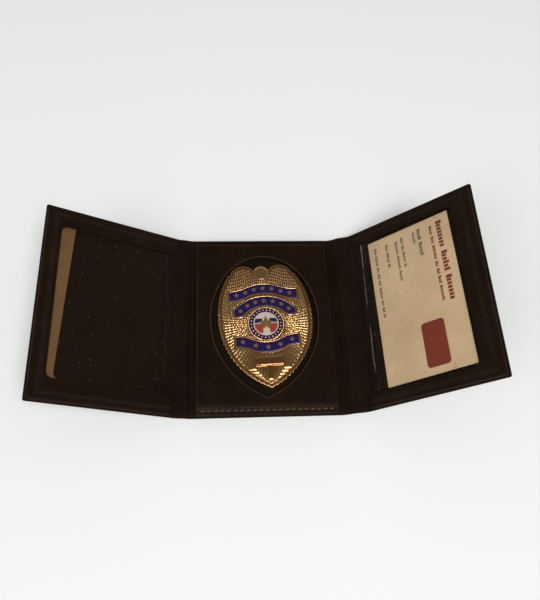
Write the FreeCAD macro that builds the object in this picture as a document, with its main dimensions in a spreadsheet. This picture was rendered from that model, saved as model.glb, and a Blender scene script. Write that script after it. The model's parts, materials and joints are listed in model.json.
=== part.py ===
import FreeCAD, Part
import math
import os
import re

# Open trifold badge wallet, in millimetres and degrees.
# Origin: middle of the center panel, on the face that lies on the table.
# +X runs to the right flap, +Y to the wallet's top edge, +Z up from the table.
# On every panel, u is the distance from that panel's own fold line, and height zero
# is the lining's inner face, where the leather bends.

SIZES = {
    # The shell: cover leather, bill pocket and lining
    "wallet_height": 111.0,  # cover, bottom edge to top edge
    "flap_short": 3.0,  # closed flap's outer edge to the far fold line
    "cover_leather": 1.3,
    "bill_gap": 0.5,  # room for notes between cover and lining
    "lining_leather": 0.5,
    "lining_drop": 2.0,  # lining's top edge below the cover's
    "welt_width": 5.0,  # strip that closes the bill pocket
    "outer_corner": 1.2,  # radius at the flaps' outer corners
    "edge_inset": 0.5,  # inner layers behind the cover's edge
    # How far the wallet stands open, and the room it needs when closed
    "left_open": 29.0,  # angle of the left flap above the table
    "right_open": 44.0,
    "crease_gap": 0.1,  # each panel's end to its fold line
    "fold_room": 1.0,  # left flap above the badge panel when closed
    "overlap_room": 0.6,  # right flap above the closed left flap
    # Badge panel
    "panel_width": 77.0,
    "panel_margin": 2.0,  # side edge to the fold line
    "panel_drop": 4.0,  # inner panels' top edge below the cover's
    "panel_corner": 1.0,
    "backing_leather": 0.8,
    "pad_thick": 1.9,
    "face_leather": 1.1,
    # Recess in the badge panel, a pointed drop round the badge
    "recess_room": 3.75,  # beside the badge
    "recess_head": 5.8,  # above its lobes
    "recess_foot": 5.4,  # below its tip
    "recess_shift": 0.4,  # to the right of the middle
    # Window pockets
    "pocket_leather": 0.9,
    "window_vinyl": 0.3,
    "frame_leather": 1.1,
    "pocket_mouth": 3.4,  # fold line to the pocket's open end
    "vinyl_mouth": 7.5,  # fold line to the vinyl's free edge
    "vinyl_lap": 4.0,  # vinyl under the frame
    "pocket_play": 2.5,  # pocket beyond the window, top and bottom
    "pocket_end_play": 2.5,  # pocket beyond the window, outer end
    "window_corner": 3.5,
    "left_rail": 8.0,  # frame's outer edge to the window
    "left_band": 10.25,  # frame above and below the window, on average
    "left_window_rise": -1.0,
    "right_rail": 11.3,
    "right_band": 7.25,
    "right_window_rise": -1.4,
    # Cards in the pockets: each takes its height from its window and a margin,
    # which gives the pale card the standard 88.9
    "card_lift": 0.1,  # card above what it lies on
    "card_room": 0.15,  # top card below the vinyl
    "insert_width": 54.0,
    "insert_thick": 0.3,
    "insert_corner": 3.2,
    "insert_margin": -0.8,  # window beyond the card, top and bottom
    "insert_slack": 5.8,  # window's outer edge to the card's, halfway up
    "insert_turn": 3.5,
    "sheet_width": 54.0,  # paper sheet behind the insert
    "sheet_thick": 0.15,
    "sheet_margin": -1.2,
    "sheet_gap": 0.5,  # sheet's outer edge to the pocket's end
    "card_width": 50.8,
    "card_thick": 0.35,
    "card_margin": 1.55,
    "card_slack": 2.4,
    "card_turn": 1.0,
    # Badge plate, struck in one piece with a domed face
    "badge_width": 55.0,
    "badge_tip": 41.6,  # below its widest line
    "badge_shoulder": 29.0,  # above its widest line
    "shoulder_lean": 7.5,  # each side leans in by this much
    "badge_thick": 3.4,  # at the middle of the dome
    "dome_radius": 378.0,
    "lobe_radius": 8.0,
    "lobe_spread": 11.0,
    "lobe_sink": 1.8,  # lobe's middle below the shoulder
    "crown_radius": 4.2,
    "crown_lift": 1.5,  # crown's middle above the shoulder
    "tablet_width": 16.0,
    "tablet_height": 5.2,
    "tablet_rise": -26.0,
    "tablet_relief": 0.2,
    "badge_shift": 0.8,  # to the right of the middle
    "badge_rise": 0.4,
    "badge_turn": 3.0,
    # Enamel inlays of the badge
    "inlay_floor": 1.9,  # above the plate's back
    "inlay_proud": 0.15,
    "inlay_gap": 0.1,
    "banner_width": 5.5,
    "upper_half": 19.4,  # half the length of the upper ribbon
    "upper_crest": 21.6,
    "upper_fall": 4.0,  # from the crest to the level ends
    "middle_radius": 22.8,
    "middle_crest": 13.4,
    "middle_span": 110.0,  # angle of the arch
    "lower_half": 17.4,  # half the length of the lower ribbon
    "lower_trough": -20.6,
    "lower_rise": 4.2,  # from the trough to the level ends
    "seal_rise": -3.6,
    "seal_radius": 9.5,
    "ring_width": 2.2,
    "star_radius": 4.6,
    "star_waist": 2.0,
    "star_relief": 0.15,
    # Posts, washers and nuts that hold the badge
    "post_radius": 1.0,
    "post_spread": 24.0,  # above and below the widest line
    "post_gap": 0.15,  # post to the backing's hole
    "post_stop": 0.2,  # post's end above the lining
    "thread_gap": 0.05,
    "washer_radius": 2.6,
    "washer_thick": 0.4,
    "nut_flats": 4.0,
    "nut_thick": 1.1,
    "nut_room": 0.8,  # washer to the filler's window
    # Thread
    "stitch_length": 2.5,
    "stitch_space": 0.9,
    "stitch_radius": 0.3,
    "seam_inset": 1.9,  # row below the badge to the panel's edge
    "flap_inset": 3.2,  # rows to the flaps' top and bottom edges
    "rail_inset": 4.8,  # rows to the flaps' outer edges
}

WORKED_OUT = {
    "half_height": "wallet_height / 2",
    "lining_top": "half_height - lining_drop",
    "panel_top": "half_height - panel_drop",
    "panel_bottom": "edge_inset - half_height",
    "axis_height": "cover_leather + bill_gap + lining_leather",
    "center_half": "panel_width / 2 + panel_margin",
    "flap_width": "2 * center_half - flap_short",
    "filler_thick": "washer_thick + nut_thick + post_stop",
    "insert_stack": "sheet_thick + card_lift + insert_thick",
    "pocket_depth": "card_lift + max(insert_stack; card_thick) + card_room",
    "panel_stack": "filler_thick + backing_leather + pad_thick + face_leather",
    "flap_stack": "pocket_leather + pocket_depth + window_vinyl + frame_leather",
    "left_spine": "panel_stack + flap_stack + fold_room",
    "right_spine": "left_spine + axis_height + flap_stack + overlap_room",
    "left_turn_x": "-center_half - left_spine * cos(left_open / 2)",
    "left_turn_z": "axis_height + left_spine * sin(left_open / 2)",
    "right_turn_x": "center_half + right_spine * cos(right_open / 2)",
    "right_turn_z": "axis_height + right_spine * sin(right_open / 2)",
    "backing_floor": "filler_thick",
    "badge_floor": "filler_thick + backing_leather",
    "face_floor": "badge_floor + pad_thick",
    "spacer_floor": "pocket_leather",
    "vinyl_floor": "spacer_floor + pocket_depth",
    "frame_floor": "vinyl_floor + window_vinyl",
    "panel_edge": "flap_width - edge_inset",
    "panel_height": "panel_top - panel_bottom",
    "left_window_height": "panel_height - 2 * left_band",
    "left_window_reach": "panel_edge - left_rail",
    "right_window_height": "panel_height - 2 * right_band",
    "right_window_reach": "panel_edge - right_rail",
    "insert_height": "left_window_height - 2 * insert_margin",
    "sheet_height": "left_window_height - 2 * sheet_margin",
    "card_height": "right_window_height - 2 * card_margin",
    "insert_middle": "left_window_reach - insert_slack - insert_width / 2",
    "card_middle": "right_window_reach - card_slack - card_width / 2",
    "sheet_middle": "left_window_reach + pocket_end_play - sheet_gap - sheet_width / 2",
    "lobe_rise": "badge_shoulder - lobe_sink",
    "crown_rise": "badge_shoulder + crown_lift",
    "field_radius": "seal_radius - ring_width",
    "inlay_top": "badge_thick + inlay_proud",
    "recess_half": "badge_width / 2 + recess_room",
    "recess_top": "lobe_rise + lobe_radius + recess_head",
    "recess_tip": "badge_tip + recess_foot",
    "recess_depth": "pad_thick + face_leather",
    "stitch_pitch": "stitch_length + stitch_space",
}

# Each frame: place of its fold line in X and Z, and its turn about Y
FRAMES = {
    "center": ("0", "axis_height", "0"),
    "left_fold": ("-center_half", "axis_height", "0"),
    "left_spine": ("-center_half", "axis_height", "left_open / 2"),
    "left_turn": ("left_turn_x", "left_turn_z", "left_open / 2"),
    "left_flap": ("left_turn_x", "left_turn_z", "left_open"),
    "right_fold": ("center_half", "axis_height", "0"),
    "right_spine": ("center_half", "axis_height", "-right_open / 2"),
    "right_turn": ("right_turn_x", "right_turn_z", "-right_open / 2"),
    "right_flap": ("right_turn_x", "right_turn_z", "-right_open"),
}
SIDES = {"left": -1, "right": 1}
ALIAS = re.compile(r"[a-z]+(?:_[a-z]+)+")
UP = FreeCAD.Vector(0, 0, 1)
ALONG_Y = FreeCAD.Vector(0, 1, 0)
EDGE_MATCH = 1e-6

doc = FreeCAD.newDocument("badge_wallet")
sheet = doc.addObject("Spreadsheet::Sheet", "sizes")
nodes = []


def fill_sheet():
    """Puts the driving sizes and the sizes worked out from them into the sheet."""
    cells = {name: str(number) for name, number in SIZES.items()}
    cells.update({name: "=" + words for name, words in WORKED_OUT.items()})
    for row, (name, content) in enumerate(cells.items(), start=1):
        sheet.set(f"A{row}", name)
        sheet.set(f"B{row}", content)
        sheet.setAlias(f"B{row}", name)
    doc.recompute()


def size(name):
    """A size as a plain number."""
    return float(sheet.get(name))


def bind(item, formulas):
    """Ties properties of an object to formulas of the sheet's sizes."""
    for prop, words in formulas.items():
        item.setExpression(prop, ALIAS.sub(r"sizes.\g<0>", words))


def keep(item, label):
    """Marks an object as one of the wallet's pieces."""
    item.Label = label
    nodes.append(item)
    return item


def place(item, frame):
    """Sets an object into a panel's frame."""
    x, z, turn = FRAMES[frame]
    item.Placement = FreeCAD.Placement(FreeCAD.Vector(), FreeCAD.Rotation(ALONG_Y, 1.0))
    bind(item, {"Placement.Base.x": x, "Placement.Base.z": z, "Placement.Rotation.Angle": turn})


def new_body(label, frame):
    body = doc.addObject("PartDesign::Body", label)
    place(body, frame)
    return keep(body, label)


def slab(body, kind, across, up, high, side=1):
    """A box feature between pairs of formulas. On the left side u runs towards -X."""
    low_u, high_u = across
    feature = body.newObject("PartDesign::" + kind, "Slab")
    bind(feature, {
        "Length": f"({high_u}) - ({low_u})",
        "Width": f"({up[1]}) - ({up[0]})",
        "Height": f"({high[1]}) - ({high[0]})",
        "Placement.Base.x": low_u if side > 0 else f"-({high_u})",
        "Placement.Base.y": up[0],
        "Placement.Base.z": high[0],
    })
    doc.recompute()
    return feature


def upright_edges(shape, chosen):
    """Names of the edges along the thickness whose place passes the test."""
    names = []
    for number, edge in enumerate(shape.Edges, start=1):
        first, last = edge.Vertexes[0].Point, edge.Vertexes[-1].Point
        upright = abs(first.x - last.x) + abs(first.y - last.y) < EDGE_MATCH
        if upright and chosen(first.x):
            names.append(f"Edge{number}")
    return names


def round_corners(body, radius, chosen):
    """Rounds the upright edges that pass the test to the radius named."""
    base = body.Tip
    corner = body.newObject("PartDesign::Fillet", "Corner")
    corner.Base = (base, upright_edges(base.Shape, chosen))
    bind(corner, {"Radius": radius})
    doc.recompute()


def round_outer(body, side):
    """Rounds the two corners furthest from the fold."""
    far = max(side * vertex.X for vertex in body.Tip.Shape.Vertexes)
    round_corners(body, "outer_corner", lambda x: side * x > far - EDGE_MATCH)


def shell_panel(prefix, frame, across, side=1, is_flap=False):
    """Cover, welt and lining of one stretch of the shell, with the bill gap between."""
    cover = new_body(prefix + "_cover", frame)
    cover_top = "-axis_height + cover_leather"
    whole, lined = ("-half_height", "half_height"), ("-half_height", "lining_top")
    slab(cover, "AdditiveBox", across, whole, ("-axis_height", cover_top), side)
    lining = new_body(prefix + "_lining", frame)
    slab(lining, "AdditiveBox", across, lined, ("-lining_leather", "0"), side)
    welt = new_body(prefix + "_welt", frame)
    gap = (cover_top, "-lining_leather")
    slab(welt, "AdditiveBox", across, ("-half_height", "-half_height + welt_width"), gap, side)
    if is_flap:
        ends = (f"{across[1]} - welt_width", across[1])
        slab(welt, "AdditiveBox", ends, lined, gap, side)
        for layer in (cover, lining, welt):
            round_outer(layer, side)


def shell():
    """The five stretches of the shell."""
    middle = ("crease_gap - center_half", "center_half - crease_gap")
    shell_panel("center", "center", middle)
    for name, side in SIDES.items():
        shell_panel(name + "_spine", name + "_spine", ("crease_gap", f"{name}_spine - crease_gap"), side)
        shell_panel(name, name + "_flap", ("crease_gap", "flap_width"), side, is_flap=True)


def crease(label, frame, turn, side):
    """The bend of the cover about a fold line: a sector as wide as the fold's angle at rest."""
    body = new_body(label, frame)
    down = FreeCAD.Vector(0, 0, -1)
    axis = FreeCAD.Vector(0, -side, 0)
    sector = FreeCAD.Rotation(down, axis.cross(down), axis, "ZXY")
    outer = {"Radius": "axis_height", "Angle": turn}
    inner = {"Radius": "axis_height - cover_leather"}
    for kind, form in (("AdditiveCylinder", outer), ("SubtractiveCylinder", inner)):
        ring = body.newObject("PartDesign::" + kind, "Bend")
        ring.Placement = FreeCAD.Placement(FreeCAD.Vector(), sector)
        bind(ring, {"Height": "wallet_height", "Placement.Base.y": f"{side} * half_height", **form})
        doc.recompute()


def creases():
    """Two folds on each side, sharing the flap's angle evenly."""
    for name, side in SIDES.items():
        turn = name + "_open / 2"
        crease(name + "_inner_crease", name + "_fold", turn, side)
        crease(name + "_outer_crease", name + "_turn", turn, side)


def badge_spot(up):
    """Place on the panel of a point on the badge's own middle line."""
    x = f"badge_shift - ({up}) * sin(badge_turn)"
    y = f"badge_rise + ({up}) * cos(badge_turn)"
    return x, y


def panel_layer(body, floor, top):
    """A full plate of the badge panel."""
    across = ("-panel_width / 2", "panel_width / 2")
    slab(body, "AdditiveBox", across, ("panel_bottom", "panel_top"), (floor, top))
    round_corners(body, "panel_corner", lambda x: True)


def pierce(body, radius, depth):
    """Cuts the two round holes of the badge's posts through a plate."""
    for up in ("post_spread", "-post_spread"):
        x, y = badge_spot(up)
        hole = body.newObject("PartDesign::SubtractiveCylinder", "PostHole")
        bind(hole, {"Radius": radius, "Height": depth, "Placement.Base.x": x, "Placement.Base.y": y})
        doc.recompute()


def drop_outline(half_width, top, tip):
    """A pointed drop: a half oval above the widest line and two arcs that meet at a tip below."""
    pull = 4 / 3 * (math.sqrt(2) - 1)
    radius = (tip**2 + half_width**2) / (2 * half_width)
    reach = math.atan2(tip, radius - half_width) / 2
    edges = []
    for side in (1, -1):
        quarter = Part.BezierCurve()
        quarter.setPoles([
            FreeCAD.Vector(side * half_width, 0, 0),
            FreeCAD.Vector(side * half_width, pull * top, 0),
            FreeCAD.Vector(side * pull * half_width, top, 0),
            FreeCAD.Vector(0, top, 0),
        ])
        edges.append(quarter.toShape())
        halfway = FreeCAD.Vector(
            side * (half_width - radius + radius * math.cos(reach)), -radius * math.sin(reach), 0
        )
        lower = Part.Arc(FreeCAD.Vector(side * half_width, 0, 0), halfway, FreeCAD.Vector(0, -tip, 0))
        edges.append(lower.toShape())
    return Part.Wire(Part.__sortEdges__(edges))


def badge_outline(half_width, tip, shoulder, lean):
    """The blank without its lobes: the drop's lower arcs, then sides that lean in to flat shoulders."""
    radius = (tip**2 + half_width**2) / (2 * half_width)
    reach = math.atan2(tip, radius - half_width) / 2
    half_shoulder = half_width - lean
    upper = (shoulder**2 + lean**2) / (2 * lean)
    rise = math.asin(shoulder / upper) / 2
    edges = [Part.LineSegment(
        FreeCAD.Vector(-half_shoulder, shoulder, 0), FreeCAD.Vector(half_shoulder, shoulder, 0)
    ).toShape()]
    for side in (1, -1):
        widest = FreeCAD.Vector(side * half_width, 0, 0)
        below = FreeCAD.Vector(
            side * (half_width - radius + radius * math.cos(reach)), -radius * math.sin(reach), 0
        )
        above = FreeCAD.Vector(
            side * (half_width - upper + upper * math.cos(rise)), upper * math.sin(rise), 0
        )
        edges.append(Part.Arc(FreeCAD.Vector(0, -tip, 0), below, widest).toShape())
        edges.append(Part.Arc(widest, above, FreeCAD.Vector(side * half_shoulder, shoulder, 0)).toShape())
    return Part.Wire(Part.__sortEdges__(edges))


def prism(name, wire, height):
    """An outline carried straight up."""
    item = doc.addObject("Part::Feature", name)
    item.Shape = Part.Face(wire).extrude(UP * height)
    return item


def badge_panel():
    """Filler, backing, pad and face of the middle panel, with the recess through the upper two."""
    filler = new_body("filler_board", "center")
    panel_layer(filler, "0", "filler_thick")
    pierce(filler, "washer_radius + nut_room", "filler_thick")
    backing = new_body("badge_backing", "center")
    panel_layer(backing, "backing_floor", "badge_floor")
    pierce(backing, "post_radius + post_gap", "badge_floor")
    for label, floor, top in (
        ("badge_pad", "badge_floor", "face_floor"),
        ("badge_panel", "face_floor", "panel_stack"),
    ):
        plate = doc.addObject("PartDesign::Body", label + "_plate")
        panel_layer(plate, floor, top)
        wire = drop_outline(size("recess_half"), size("recess_top"), size("recess_tip"))
        recess = prism(label + "_recess", wire, size("recess_depth"))
        bind(recess, {"Placement.Base.x": "recess_shift", "Placement.Base.z": "badge_floor"})
        layer = doc.addObject("Part::Cut", label)
        layer.Base = plate
        layer.Tool = recess
        place(layer, "center")
        keep(layer, label)


def place_on_badge(item):
    """Sets an object, made about the badge's own middle and back, into the recess."""
    item.Placement = FreeCAD.Placement(FreeCAD.Vector(), FreeCAD.Rotation(UP, 1.0))
    bind(item, {
        "Placement.Base.x": "badge_shift",
        "Placement.Base.y": "badge_rise",
        "Placement.Base.z": "axis_height + badge_floor",
        "Placement.Rotation.Angle": "badge_turn",
    })


def cylinder(name, radius, floor, top, across="0", up="0"):
    item = doc.addObject("Part::Cylinder", name)
    bind(item, {
        "Radius": radius,
        "Height": f"({top}) - ({floor})",
        "Placement.Base.x": across,
        "Placement.Base.y": up,
        "Placement.Base.z": floor,
    })
    return item


def boolean(kind, name, base, tool):
    item = doc.addObject("Part::" + kind, name)
    item.Base = base
    item.Tool = tool
    return item


def fuse_all(name, items):
    item = doc.addObject("Part::MultiFuse", name)
    item.Shapes = items
    return item


def dome(name, top):
    """The ball whose upper face is the badge's crown at the height named."""
    ball = doc.addObject("Part::Sphere", name)
    bind(ball, {"Radius": "dome_radius", "Placement.Base.z": f"{top} - dome_radius"})
    return ball


def ribbon_outline(half, top, fall, width):
    """A ribbon's outline: along its top three arcs of one radius that leave the middle and level off at the
    ends, the same arcs a width lower, and upright ends. A fall below zero lifts the ends."""
    radius = (half**2 + fall**2) / (4 * abs(fall))
    sweep = math.asin(half / (2 * radius))
    shoulder = half - radius * math.sin(sweep / 2)
    over_end = math.copysign(radius * (1 - math.cos(sweep / 2)), fall)
    edges = []
    for level in (top, top - width):
        end, hip = level - fall, level - fall / 2
        near = FreeCAD.Vector(-half / 2, hip, 0), FreeCAD.Vector(half / 2, hip, 0)
        edges.append(Part.Arc(near[0], FreeCAD.Vector(0, level, 0), near[1]).toShape())
        for side, start in zip((-1, 1), near):
            through = FreeCAD.Vector(side * shoulder, end + over_end, 0)
            edges.append(Part.Arc(start, through, FreeCAD.Vector(side * half, end, 0)).toShape())
    for side in (-1, 1):
        corner = FreeCAD.Vector(side * half, top - fall, 0)
        edges.append(Part.LineSegment(corner, corner - ALONG_Y * width).toShape())
    return Part.Wire(Part.__sortEdges__(edges))


def ribbon(name, half, top, fall, gap):
    """A ribbon with level ends, from the inlay floor up. A gap widens it all round."""
    wire = ribbon_outline(half + gap, top + gap, fall, size("banner_width") + 2 * gap)
    item = prism(name + "_band", wire, size("inlay_top") - size("inlay_floor"))
    bind(item, {"Placement.Base.z": "inlay_floor"})
    return item


def arch(name, radius, crest, span, gap):
    """A band of a ring from the inlay floor up. A gap widens it all round."""
    half = f"({span} / 2 + {gap} / {radius} * 180 / pi)"
    middle_up = f"{crest} - {radius}"
    outer = cylinder(name + "_outer", f"{radius} + {gap}", "inlay_floor", "inlay_top", "0", middle_up)
    bind(outer, {"Angle": f"2 * {half}", "Placement.Rotation.Angle": f"90 - {half}"})
    inside = f"{radius} - banner_width - {gap}"
    inner = cylinder(name + "_inner", inside, "inlay_floor", "inlay_top", "0", middle_up)
    return boolean("Cut", name + "_band", outer, inner)


def banners(suffix, gap):
    """The three banners by name: an arched ribbon, an arch, and a ribbon that hangs as a smile."""
    room = size(gap) if gap else 0
    upper, lower = "upper_banner", "lower_banner"
    lower_top = size("lower_trough") + size("banner_width")
    return {
        upper: ribbon(upper + suffix, size("upper_half"), size("upper_crest"), size("upper_fall"), room),
        "middle_banner": arch(
            "middle_banner" + suffix, "middle_radius", "middle_crest", "middle_span", gap or "0"
        ),
        lower: ribbon(lower + suffix, size("lower_half"), lower_top, -size("lower_rise"), room),
    }


def disc_or_ring(name, radius, inner_radius, top, gap):
    """A round inlay about the seal's middle, with or without a hole."""
    outer = cylinder(name + "_outer", f"{radius} + {gap}", "inlay_floor", top, "0", "seal_rise")
    if inner_radius is None:
        return outer
    inner = cylinder(name + "_inner", inner_radius, "inlay_floor", top, "0", "seal_rise")
    return boolean("Cut", name + "_ring", outer, inner)


def badge_plate():
    """The struck plate: blank, lobes, crown and tablet under one dome, with pockets for the inlays."""
    wire = badge_outline(
        size("badge_width") / 2, size("badge_tip"), size("badge_shoulder"), size("shoulder_lean")
    )
    blank = prism("badge_blank", wire, size("badge_thick"))
    lobes = [
        cylinder(f"lobe_{name}", "lobe_radius", "0", "badge_thick", f"{side} * lobe_spread", "lobe_rise")
        for name, side in SIDES.items()
    ]
    crown = cylinder("crown", "crown_radius", "0", "badge_thick", "0", "crown_rise")
    form = fuse_all("badge_form", [blank, *lobes, crown])
    struck = boolean("Common", "struck_face", form, dome("face_dome", "badge_thick"))
    tablet = doc.addObject("Part::Box", "tablet")
    bind(tablet, {
        "Length": "tablet_width",
        "Width": "tablet_height",
        "Height": "badge_thick",
        "Placement.Base.x": "-tablet_width / 2",
        "Placement.Base.y": "tablet_rise - tablet_height / 2",
    })
    raised_dome = dome("tablet_dome", "badge_thick + tablet_relief")
    raised = boolean("Common", "raised_tablet", tablet, raised_dome)
    pockets = list(banners("_pocket", "inlay_gap").values())
    pockets.append(disc_or_ring("seal_pocket", "seal_radius", None, "inlay_top", "inlay_gap"))
    relief = fuse_all("relief", [struck, raised])
    plate = boolean("Cut", "badge_plate", relief, fuse_all("pockets", pockets))
    place_on_badge(plate)
    keep(plate, "badge_plate")


def star_outline(radius, waist):
    """Five points on one circle and five hollows on a smaller one, the first point up."""
    corners = []
    for number in range(11):
        angle = math.radians(90 + 36 * number)
        reach = waist if number % 2 else radius
        corners.append(FreeCAD.Vector(reach * math.cos(angle), reach * math.sin(angle), 0))
    return Part.makePolygon(corners)


def badge_inlays():
    """Three banners, the seal's ring and field, and a star on the field."""
    for name, band in banners("", None).items():
        inlay = boolean("Common", name, band, dome(name + "_dome", "inlay_top"))
        place_on_badge(inlay)
        keep(inlay, name)
    band = disc_or_ring("seal_band", "seal_radius", "field_radius + inlay_gap", "inlay_top", "0")
    ring = boolean("Common", "seal_ring", band, dome("ring_dome", "inlay_top"))
    disc = disc_or_ring("seal_disc", "field_radius", None, "badge_thick - inlay_proud", "0")
    field = doc.addObject("Part::Compound", "seal_field")
    field.Links = [disc]
    wire = star_outline(size("star_radius"), size("star_waist"))
    points = prism("star_points", wire, size("star_relief"))
    bind(points, {"Placement.Base.y": "seal_rise", "Placement.Base.z": "badge_thick - inlay_proud"})
    star = doc.addObject("Part::Compound", "seal_star")
    star.Links = [points]
    for item in (ring, field, star):
        place_on_badge(item)
        keep(item, item.Name)


def pair(label, make):
    """Two like pieces, one at each post, as one group."""
    group = doc.addObject("Part::Compound", label)
    group.Links = [make("upper_" + label, "post_spread"), make("lower_" + label, "-post_spread")]
    place_on_badge(group)
    keep(group, label)


def post(name, up):
    """A threaded stud from the badge's back to just above the lining."""
    return cylinder(name, "post_radius", "post_stop - badge_floor", "0", "0", up)


def washer(name, up):
    """A flat washer under the backing."""
    floor, top = "-backing_leather - washer_thick", "-backing_leather"
    disc = cylinder(name + "_disc", "washer_radius", floor, top, "0", up)
    hole = cylinder(name + "_hole", "post_radius + post_gap", floor, top, "0", up)
    return boolean("Cut", name, disc, hole)


def nut(name, up):
    """A hexagon nut under the washer, threaded on the post."""
    top = "-backing_leather - washer_thick"
    block = doc.addObject("Part::Prism", name + "_block")
    block.Polygon = 6
    bind(block, {
        "Circumradius": "nut_flats / 2 / cos(30)",
        "Height": "nut_thick",
        "Placement.Base.y": up,
        "Placement.Base.z": f"{top} - nut_thick",
    })
    thread = cylinder(name + "_thread", "post_radius + thread_gap", f"{top} - nut_thick", top, "0", up)
    return boolean("Cut", name, block, thread)


def c_layer(label, frame, side, heights, reach, rise, half):
    """A layer sewn on three sides: a plate with an opening that runs out at the fold."""
    body = new_body(label, frame)
    whole = ("panel_bottom", "panel_top")
    slab(body, "AdditiveBox", ("pocket_mouth", "panel_edge"), whole, heights, side)
    round_outer(body, side)
    opening = (f"{rise} - ({half})", f"{rise} + ({half})")
    cut = slab(body, "SubtractiveBox", ("0", reach), opening, heights, side)
    inner_end = max(side * cut.Placement.Base.x, side * (cut.Placement.Base.x + cut.Length.Value))
    round_corners(body, "window_corner", lambda x: abs(side * x - inner_end) < EDGE_MATCH)


def window_pocket(name, side):
    """Pocket back, seam spacer, clear window and window frame of one flap."""
    frame = name + "_flap"
    rise, half, reach = f"{name}_window_rise", f"{name}_window_height / 2", f"{name}_window_reach"
    back = new_body(name + "_pocket_back", frame)
    whole = ("panel_bottom", "panel_top")
    slab(back, "AdditiveBox", ("pocket_mouth", "panel_edge"), whole, ("0", "pocket_leather"), side)
    round_outer(back, side)
    c_layer(
        name + "_spacer", frame, side, ("spacer_floor", "vinyl_floor"),
        reach + " + pocket_end_play", rise, half + " + pocket_play",
    )
    vinyl = new_body(name + "_window", frame)
    across = ("vinyl_mouth", reach + " + vinyl_lap")
    up = (f"{rise} - {half} - vinyl_lap", f"{rise} + {half} + vinyl_lap")
    slab(vinyl, "AdditiveBox", across, up, ("vinyl_floor", "frame_floor"), side)
    c_layer(name + "_frame", frame, side, ("frame_floor", "flap_stack"), reach, rise, half)


def card(label, frame, prefix, middle, rise, turn, floor):
    """A thin sheet in a pocket, turned a little about its own middle."""
    body = new_body(label, frame)
    sheet_box = body.newObject("PartDesign::AdditiveBox", "Sheet")
    sheet_box.Placement = FreeCAD.Placement(FreeCAD.Vector(), FreeCAD.Rotation(UP, 1.0))
    half_width, half_height = f"{prefix}_width / 2", f"{prefix}_height / 2"
    bind(sheet_box, {
        "Length": f"{prefix}_width",
        "Width": f"{prefix}_height",
        "Height": f"{prefix}_thick",
        "Placement.Rotation.Angle": turn,
        "Placement.Base.x": f"{middle} + {half_height} * sin({turn}) - {half_width} * cos({turn})",
        "Placement.Base.y": f"{rise} - {half_height} * cos({turn}) - {half_width} * sin({turn})",
        "Placement.Base.z": floor,
    })
    doc.recompute()
    return body


def cards():
    """A paper sheet and a dark insert in the left pocket, and a pale card in the right one."""
    floor = "spacer_floor + card_lift"
    paper = card("insert_sheet", "left_flap", "sheet", "-sheet_middle", "left_window_rise", "0", floor)
    round_corners(paper, "window_corner", lambda x: True)
    above = floor + " + sheet_thick + card_lift"
    insert = card(
        "insert_card", "left_flap", "insert", "-insert_middle", "left_window_rise", "-insert_turn", above
    )
    round_corners(insert, "insert_corner", lambda x: True)
    card("id_card", "right_flap", "card", "card_middle", "right_window_rise", "card_turn", floor)


def stitch_row(start, end, height):
    """Half-round stitches lying on the leather, evenly spaced from start to end."""
    radius, length = size("stitch_radius"), size("stitch_length")
    run = end.sub(start)
    count = int(run.Length // size("stitch_pitch"))
    along = FreeCAD.Vector(run).normalize()
    lie = FreeCAD.Rotation(UP.cross(along), UP, along, "ZXY")
    stitches = []
    for number in range(count):
        middle = start + run * ((number + 0.5) / count)
        stitch = Part.makeCylinder(radius, length, FreeCAD.Vector(0, 0, -length / 2), UP, 180)
        stitch.Placement = FreeCAD.Placement(middle + UP * height, lie)
        stitches.append(stitch)
    return stitches


def sewn(label, frame, corners, height):
    """One thread's stitches along a line of corners, as a group of solids."""
    stitches = []
    for start, end in zip(corners, corners[1:]):
        stitches += stitch_row(start, end, height)
    thread = doc.addObject("Part::Feature", label)
    thread.Shape = Part.makeCompound(stitches)
    place(thread, frame)
    keep(thread, label)


def stitching():
    """A row along the badge panel's bottom edge, and three rows round each window pocket."""
    inset = size("seam_inset")
    reach, seam = size("panel_width") / 2 - inset, size("panel_bottom") + inset
    row = [FreeCAD.Vector(-reach, seam, 0), FreeCAD.Vector(reach, seam, 0)]
    sewn("center_stitching", "center", row, size("panel_stack"))
    low, high = size("panel_bottom") + size("flap_inset"), size("panel_top") - size("flap_inset")
    near, far = size("pocket_mouth"), size("panel_edge") - size("rail_inset")
    for name, side in SIDES.items():
        spots = ((near, low), (far, low), (far, high), (near, high))
        corners = [FreeCAD.Vector(side * u, y, 0) for u, y in spots]
        sewn(name + "_stitching", name + "_flap", corners, size("flap_stack"))


def check_and_write():
    """Stops if anything failed to build, then writes each piece."""
    doc.recompute()
    failed = [item.Name for item in doc.Objects if {"Invalid", "Error"} & set(item.State)]
    if failed:
        raise RuntimeError(f"these did not build: {failed}")
    for item in nodes:
        if item.Shape.isNull() or not item.Shape.isValid() or not item.Shape.Solids:
            raise RuntimeError(f"{item.Label} has no valid solid")
    os.makedirs("parts", exist_ok=True)
    for item in nodes:
        item.Shape.exportStep(f"parts/{item.Label}.step")
        print(item.Label, len(item.Shape.Solids), round(item.Shape.Volume, 1))


fill_sheet()
shell()
creases()
badge_panel()
badge_plate()
badge_inlays()
pair("badge_posts", post)
pair("post_washers", washer)
pair("post_nuts", nut)
for side_name, side_sign in SIDES.items():
    window_pocket(side_name, side_sign)
cards()
stitching()
check_and_write()
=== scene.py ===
"""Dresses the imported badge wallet: leather shell, badge panel, window pockets, cards, badge and thread."""

import json
from collections import namedtuple
from functools import partial

import bmesh
import bpy
import numpy as np
from bpy.props import FloatProperty, FloatVectorProperty, IntProperty, PointerProperty
from mathutils import Euler, Matrix


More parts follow.
